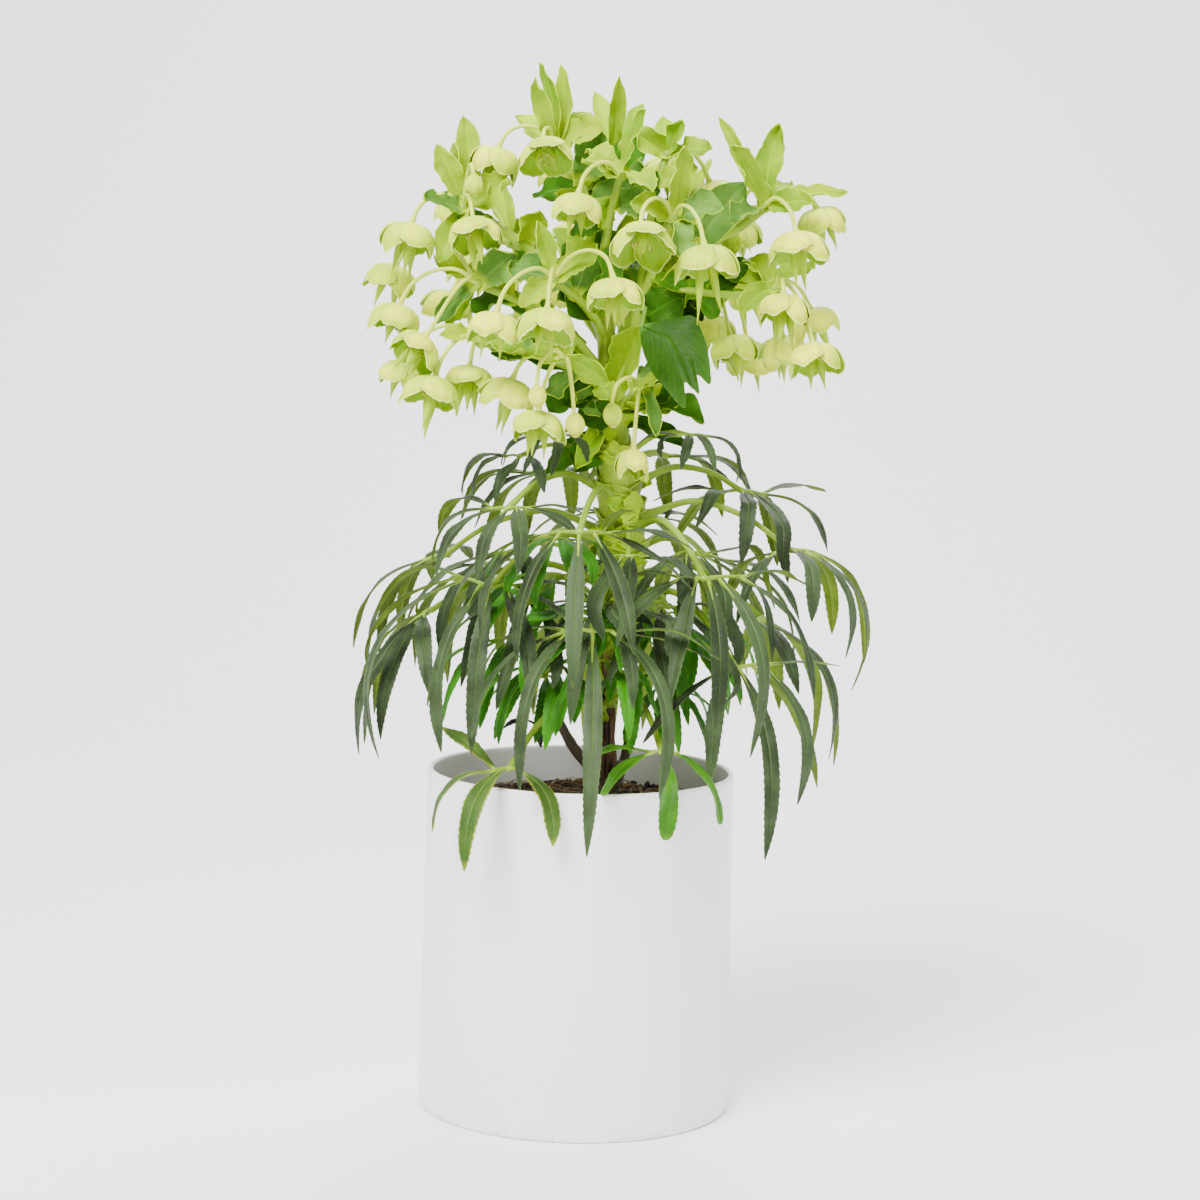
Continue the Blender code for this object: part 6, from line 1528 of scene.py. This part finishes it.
class PotSettings(bpy.types.PropertyGroup):
    height: distance("Height", "Height of the pot", POT_HEIGHT)
    rim_radius: distance("Rim radius", "Outer radius at the rim", POT_RIM_RADIUS)
    foot_radius: distance("Foot radius", "Outer radius at the foot", POT_FOOT_RADIUS)
    wall: distance("Wall", "Thickness of the wall", POT_WALL)
    floor: distance("Floor", "Thickness of the floor", POT_FLOOR)
    glaze: tint("Glaze", "Colour of the glaze", (0.83, 0.83, 0.82))
    foot_darkening: tint("Foot darkening", "Colour the glaze darkens to round the foot", (0.55, 0.54, 0.50))


class SoilSettings(bpy.types.PropertyGroup):
    level: distance("Level", "Height of the soil", SOIL_TOP)
    radius: distance("Radius", "Radius of the soil at its top", SOIL_RADIUS)
    crumbs: IntProperty(name="Crumbs", description="Loose crumbs on the soil", default=900)
    fibres: IntProperty(name="Fibres", description="Loose fibres on the soil", default=320)
    dark: tint("Dark", "Colour of moist soil", (0.018, 0.011, 0.007))
    brown: tint("Brown", "Colour of drier soil", (0.060, 0.034, 0.018))
    fleck: tint("Fleck", "Colour of bark chips", (0.16, 0.085, 0.040))
    fibre: tint("Fibre", "Colour of dry fibres", (0.30, 0.19, 0.10))


class StemSettings(bpy.types.PropertyGroup):
    trunk_green: tint("Stem green", "Main colour of the sheathed stem", (0.14, 0.21, 0.004))
    trunk_light: tint("Stem light", "Pale patches of the stem", (0.40, 0.50, 0.03))
    branch: tint("Branch", "Colour of the branches", (0.28, 0.44, 0.010))
    sheath: tint("Sheath", "Colour of the clasping sheaths", (0.21, 0.32, 0.012))
    bark_dark: tint("Dark bark", "Furrows of the woody foot", (0.030, 0.016, 0.010))
    bark_light: tint("Light bark", "Ridges of the woody foot", (0.17, 0.095, 0.055))
    stub: tint("Stub", "Colour of old cut stems", (0.17, 0.13, 0.09))


class LeafSettings(bpy.types.PropertyGroup):
    stalk_radius: distance("Petiole radius", "Radius of a leaf stalk", PETIOLE_RADIUS)
    tooth_pitch: distance("Tooth spacing", "Distance between the teeth of a leaflet", TOOTH_PITCH)
    tooth: distance("Tooth depth", "How far the teeth stand out", TOOTH_DEPTH)
    dark: tint("Dark green", "Shaded upper side of a leaflet", (0.013, 0.022, 0.007))
    light: tint("Grey green", "Bloomy upper side of a leaflet", (0.042, 0.070, 0.025))
    vein: tint("Midrib", "Colour of the midrib and veins", (0.13, 0.23, 0.045))
    under: tint("Underside", "Colour of the underside", (0.115, 0.18, 0.012))
    stalk: tint("Stalk", "Colour of petioles and arms", (0.17, 0.31, 0.003))
    young: tint("Young leaf", "Colour of young leaves", (0.022, 0.13, 0.002))
    turning: tint("Turning leaf", "Yellowing margin of the oldest leaf", (0.42, 0.44, 0.02))


class BellSettings(bpy.types.PropertyGroup):
    outside: tint("Outside", "Outside of the sepals", (0.90, 0.95, 0.05))
    # The deeper colour is partly the sepals' own uneven green and partly painted shade, laid on in random
    # patches
    outside_deep_and_shaded: tint("Outside, deeper and shaded", "Deeper sepal patches, partly painted shade", (0.46, 0.63, 0.006))
    inside: tint("Inside", "Inside of the sepals", (0.25, 0.44, 0.001))
    rim: tint("Rim", "Pale rim of sepals and bracts", (0.88, 0.93, 0.26))
    pedicel: tint("Pedicel", "Flower stalks", (0.60, 0.70, 0.05))
    carpel: tint("Carpel", "Seed pods and styles", (0.34, 0.49, 0.002))
    anther: tint("Anther", "Pollen heads", (0.55, 0.50, 0.07))
    bract: tint("Bract", "Upper side of the bracts", (0.15, 0.30, 0.0005))
    bract_light: tint("Bract, lighter", "Pale bracts and undersides", (0.42, 0.58, 0.001))
    dark_bract: tint("Dark bract", "Lobed inner bract", (0.024, 0.080, 0.003))


class StageSettings(bpy.types.PropertyGroup):
    floor: tint("Floor", "Colour of the floor and backdrop", (0.94, 0.94, 0.94))
    lens: FloatProperty(name="Lens", description="Focal length on a 36 mm sensor, in millimetres",
                        default=87.12)
    key: FloatProperty(name="Key light", description="Power of the main soft light", default=205.0,
                       unit="POWER")
    sky: FloatProperty(name="Sky", description="Strength of the light from all round", default=0.70)


def leaf_finishes(settings):
    """Upper side, underside and stalk finishes of grown, young, rim and dry leaves."""
    dark_stalk, streak, foot = shades(settings.stalk, 0.75, 0.5, 1.2)
    stalk = stalk_finish("Leaf stalk", dark_stalk, (0.34, 0.50, 0.05), streak)
    grown = blade_finish("Leaflet above", settings.dark, settings.light, settings.vein,
                         shade(settings.vein, 0.8), foot, 0.5, veins=0.10, rib=0.55, rim=0.4)
    under = blade_finish("Leaflet below", *shades(settings.under, 0.7, 1.5), *shades(settings.vein, 1.1, 1.0),
                         foot, 0.6, rib=0.55, rib_width=0.1, veins=0.2)
    young = blade_finish("Young leaflet above", *shades(settings.young, 0.6, 1.7),
                         (0.11, 0.31, 0.01), (0.11, 0.31, 0.01), foot, 0.42)
    young_under = blade_finish("Young leaflet below", (0.05, 0.19, 0.004), (0.10, 0.28, 0.01),
                               (0.17, 0.36, 0.03), (0.17, 0.36, 0.03), foot, 0.5, rib=0.5)
    left = blade_finish("Turning leaflet above", (0.030, 0.072, 0.008), (0.085, 0.16, 0.018),
                        (0.16, 0.28, 0.04), settings.turning, foot, 0.5, margin_width=0.07, veins=0.18)
    left_under = blade_finish("Turning leaflet below", (0.09, 0.18, 0.02), (0.16, 0.27, 0.03),
                              (0.24, 0.36, 0.05), settings.turning, foot, 0.6)
    vivid = blade_finish("Vivid leaflet above", (0.014, 0.08, 0.001), (0.045, 0.17, 0.002),
                         (0.10, 0.27, 0.01), (0.12, 0.30, 0.02), foot, 0.42, veins=0.15)
    dry = soil_finish("Dry leaflet", (0.012, 0.013, 0.010), (0.035, 0.032, 0.022), (0.05, 0.045, 0.03), 0.3)
    return {"grown": [grown, under, stalk], "young": [young, young_under, stalk], "dry_curl": [dry, dry, dry],
            "rim_left": [left, left_under, stalk], "rim_right": [vivid, young_under, stalk]}


def bell_finishes(settings):
    """Sepal outside and inside, pedicel, carpel, filament, anther and the mark under the stalk."""
    # The outside carries painted shade along the sepal edges, where the sepals overlap
    outside = blade_finish("Sepal outside", settings.outside_deep_and_shaded, settings.outside,
                           shade(settings.outside_deep_and_shaded, 0.75), settings.rim, shade(settings.outside, 0.95),
                           0.5, vein_count=17.0, parallel=1.0, rib=0.15, rib_width=0.04, veins=0.42, painted_edge_shade=0.5,
                           margin_width=0.036, rim=0.7, foot_end=0.1, relief=0.30, gloss=0.08, waver=1.6)
    dark, light, vein, foot = shades(settings.inside, 0.85, 1.3, 0.65, 0.8)
    inside = blade_finish("Sepal inside", dark, light, vein, settings.rim, foot, 0.5, vein_count=22.0,
                          parallel=1.0, rib=0.15, veins=0.35, margin_width=0.035, rim=0.6, relief=0.2)
    pedicel = stalk_finish("Flower stalk", *shades(settings.pedicel, 0.85, 1.2, 0.7), 0.42)
    pod = stalk_finish("Carpel", *shades(settings.carpel, 0.85, 1.25, 0.7), 0.38)
    filament = stalk_finish("Filament", (0.50, 0.60, 0.10), (0.66, 0.72, 0.22), (0.4, 0.5, 0.1), 0.5)
    anther = soil_finish("Anther", *shades(settings.anther, 0.8, 1.0, 1.3), 0.2)
    mark = stalk_finish("Stalk mark", (0.36, 0.27, 0.10), (0.52, 0.47, 0.18), (0.26, 0.16, 0.07), 0.6)
    return [outside, inside, pedicel, pod, filament, anther, mark]


def bract_finishes(settings):
    """Upper side and underside of lime bracts, twig, then both sides of dark and of grey-green bracts."""
    lime, light, deep = settings.bract, settings.bract_light, settings.dark_bract
    look = dict(vein_count=13.0, parallel=1.0, rib=0.55, veins=0.22, margin_width=0.03, foot_end=0.26,
                gloss=0.06)
    upper = blade_finish("Bract above", lime, shade(light, 0.8), light, shade(light, 1.5), light, 0.5,
                         rim=0.8, **look)
    under = blade_finish("Bract below", shade(lime, 1.5), *shades(light, 1.1, 1.3, 1.6), light, 0.55,
                         rim=0.8, **look)
    twig = stalk_finish("Twig", (0.18, 0.32, 0.008), (0.38, 0.53, 0.04), (0.12, 0.24, 0.005))
    dark = blade_finish("Inner bract above", *shades(deep, 0.8, 2.2, 3.2), shade(light, 0.5),
                        shade(lime, 1.1), 0.45, rim=0.5, **look)
    dark_under = blade_finish("Inner bract below", *shades(deep, 1.5, 3.2), shade(lime, 1.2),
                              shade(light, 0.6), lime, 0.5, rim=0.5, **look)
    grey = blade_finish("Grey bract above", (0.045, 0.125, 0.012), (0.13, 0.27, 0.035), (0.20, 0.36, 0.06),
                        shade(light, 1.3), light, 0.55, rim=0.7, **look)
    grey_under = blade_finish("Grey bract below", (0.09, 0.22, 0.015), (0.20, 0.36, 0.04), light,
                              shade(light, 1.3), light, 0.55, rim=0.7, **look)
    return [upper, under, twig, dark, dark_under, grey, grey_under]


def dark_finishes(settings):
    """Upper side, underside and stalk of the dark lobed bract."""
    upper = blade_finish("Dark bract above", *shades(settings.dark_bract, 0.8, 1.3), (0.05, 0.15, 0.010),
                         (0.07, 0.18, 0.015), (0.06, 0.18, 0.008), 0.45, vein_count=9.0, slant=7.0, rib=0.5,
                         rib_width=0.03, veins=0.35, margin_width=0.012, rim=0.5, foot_end=0.16, waver=0.5)
    under = blade_finish("Dark bract below", (0.06, 0.18, 0.02), (0.12, 0.28, 0.03), (0.2, 0.36, 0.06),
                         (0.2, 0.36, 0.06), (0.12, 0.28, 0.02), 0.5, vein_count=9.0, slant=7.0)
    stalk = stalk_finish("Dark bract stalk", (0.10, 0.26, 0.015), (0.18, 0.36, 0.03), (0.07, 0.18, 0.01))
    return [upper, under, stalk]


def stem_finishes(settings):
    """Trunk, branches, old stubs and sheaths."""
    trunk = trunk_finish("Sheathed trunk", settings)
    branch = stalk_finish("Branch", *shades(settings.branch, 0.85, 1.3, 0.6))
    stub = stalk_finish("Old stub", *shades(settings.stub, 0.5, 1.0, 0.3), 0.85, relief=0.6)
    sheath = blade_finish("Sheath", *shades(settings.sheath, 0.6, 1.6, 0.6, 2.0, 0.7), 0.5, vein_count=24.0,
                          parallel=1.0, rib=0.1, veins=0.35, margin_width=0.03, rim=0.8, foot_end=0.3,
                          relief=0.5)
    return [trunk, branch, stub, sheath]


def make_stage(settings):
    """Pale floor that sweeps up behind, soft lights and the camera of the photograph."""
    bend, half_width = 1.2, 6.0
    sweep = [(-4.0, 0.0), (bend, 0.0)]
    sweep += [(bend + bend * math.sin(a), bend - bend * math.cos(a)) for a in np.radians(np.arange(6, 91, 6))]
    sweep += [(2 * bend, 5.0)]
    verts = [(x, y, z) for y, z in sweep for x in (-half_width, half_width)]
    faces = [(2 * i, 2 * i + 1, 2 * i + 3, 2 * i + 2) for i in range(len(sweep) - 1)]
    mesh = bpy.data.meshes.new("studio_floor")
    mesh.from_pydata(verts, [], faces)
    mesh.shade_smooth()
    floor = bpy.data.objects.new("studio_floor", mesh)
    bpy.context.scene.collection.objects.link(floor)
    material, tree, shader = new_finish("Studio floor", 0.8)
    mottle = group(tree, "Plant mottle", patch_scale=0.8, grain_scale=90.0)
    colour = blend(tree, times(tree, mottle["Patches"], 0.3), settings.floor, shade(settings.floor, 0.98))
    feed(tree, shader, "Base Color", colour)
    mesh.materials.append(material)
    world = bpy.data.worlds.new("Studio sky")
    world.use_nodes = True
    sky = world.node_tree.nodes["Background"]
    sky.inputs["Color"].default_value = (1.0, 1.0, 1.0, 1.0)
    sky.inputs["Strength"].default_value = settings.sky
    bpy.context.scene.world = world
    middle = Vector((0, 0, 0.33))
    for name, place, size, power in (
        ("Key", (-0.9, -1.6, 2.3), 1.3, settings.key),
        ("Fill", (1.9, -1.3, 1.1), 1.8, settings.key * 0.18),
        ("Back", (0.3, 1.3, 2.1), 1.4, settings.key * 0.30),
    ):
        light = bpy.data.lights.new(name, "AREA")
        light.shape = "SQUARE"
        light.size = size
        light.energy = power
        lamp = bpy.data.objects.new(name, light)
        lamp.location = place
        lamp.rotation_euler = (middle - lamp.location).to_track_quat("-Z", "Y").to_euler()
        bpy.context.scene.collection.objects.link(lamp)
    camera = bpy.data.cameras.new("Camera")
    camera.sensor_width = 36.0
    camera.lens = settings.lens
    camera.clip_start, camera.clip_end = 0.05, 30.0
    seer = bpy.data.objects.new("Camera", camera)
    level = Matrix.Rotation(math.radians(90.0 - CAMERA_PITCH), 4, "X")
    seer.matrix_world = Matrix.Translation(Vector(CAMERA_PLACE)) @ level @ Matrix.Rotation(
        math.radians(CAMERA_ROLL), 4, "Z")
    bpy.context.scene.collection.objects.link(seer)
    bpy.context.scene.camera = seer


class HELLEBORE_OT_stage(bpy.types.Operator):
    """Build the pale floor, the soft lights and the camera"""
    bl_idname = "hellebore.stage"
    bl_label = "Stage"

    def execute(self, context):
        make_stage(context.scene.hellebore_stage)
        return {"FINISHED"}


class HELLEBORE_OT_pot(bpy.types.Operator):
    """Build the glazed pot"""
    bl_idname = "hellebore.pot"
    bl_label = "Pot"

    def execute(self, context):
        make_pot(context.scene.hellebore_pot)
        return {"FINISHED"}


class HELLEBORE_OT_soil(bpy.types.Operator):
    """Fill the pot with crumbly soil"""
    bl_idname = "hellebore.soil"
    bl_label = "Soil"

    def execute(self, context):
        make_soil(context.scene.hellebore_soil)
        return {"FINISHED"}


class HELLEBORE_OT_stem(bpy.types.Operator):
    """Grow the sheathed stem and its branches"""
    bl_idname = "hellebore.stem"
    bl_label = "Stem"

    def execute(self, context):
        make_stem(context.scene.hellebore_stem)
        return {"FINISHED"}


class HELLEBORE_OT_leaves(bpy.types.Operator):
    """Grow the pedate leaves"""
    bl_idname = "hellebore.leaves"
    bl_label = "Leaves"

    def execute(self, context):
        make_leaves(context.scene.hellebore_leaves)
        return {"FINISHED"}


class HELLEBORE_OT_sprays(bpy.types.Operator):
    """Grow the sprays of bells and bracts"""
    bl_idname = "hellebore.sprays"
    bl_label = "Sprays"

    def execute(self, context):
        make_sprays(context.scene.hellebore_bells)
        return {"FINISHED"}


class HELLEBORE_OT_inner_bracts(bpy.types.Operator):
    """Fill the head with leafy bracts"""
    bl_idname = "hellebore.inner_bracts"
    bl_label = "Inner bracts"

    def execute(self, context):
        make_inner_bracts(context.scene.hellebore_bells)
        return {"FINISHED"}


class HELLEBORE_OT_dark_bract(bpy.types.Operator):
    """Hang the dark lobed bract"""
    bl_idname = "hellebore.dark_bract"
    bl_label = "Dark bract"

    def execute(self, context):
        make_dark_bract(context.scene.hellebore_bells)
        return {"FINISHED"}


OPERATORS = (HELLEBORE_OT_stage, HELLEBORE_OT_pot, HELLEBORE_OT_soil, HELLEBORE_OT_stem, HELLEBORE_OT_leaves,
             HELLEBORE_OT_sprays, HELLEBORE_OT_inner_bracts, HELLEBORE_OT_dark_bract)
SETTINGS = {"hellebore_pot": PotSettings, "hellebore_soil": SoilSettings, "hellebore_stem": StemSettings,
            "hellebore_leaves": LeafSettings, "hellebore_bells": BellSettings,
            "hellebore_stage": StageSettings}


class HELLEBORE_PT_sidebar(bpy.types.Panel):
    """Buttons for the pieces, and their sizes and colours"""
    bl_idname = "HELLEBORE_PT_sidebar"
    bl_label = "Hellebore"
    bl_space_type = "VIEW_3D"
    bl_region_type = "UI"
    bl_category = "Hellebore"

    def draw(self, context):
        for operator in OPERATORS:
            self.layout.operator(operator.bl_idname)
        for holder, kind in SETTINGS.items():
            box = self.layout.box()
            for key in kind.__annotations__:
                box.prop(getattr(context.scene, holder), key)


def register():
    for kind in (*SETTINGS.values(), *OPERATORS, HELLEBORE_PT_sidebar):
        bpy.utils.register_class(kind)
    for holder, kind in SETTINGS.items():
        setattr(bpy.types.Scene, holder, PointerProperty(type=kind))


def unregister():
    for holder in SETTINGS:
        delattr(bpy.types.Scene, holder)
    for kind in (HELLEBORE_PT_sidebar, *reversed(OPERATORS), *SETTINGS.values()):
        bpy.utils.unregister_class(kind)


def main():
    register()
    for operator in OPERATORS:
        group_name, step = operator.bl_idname.split(".")
        getattr(getattr(bpy.ops, group_name), step)()


if __name__ == "__main__":
    main()
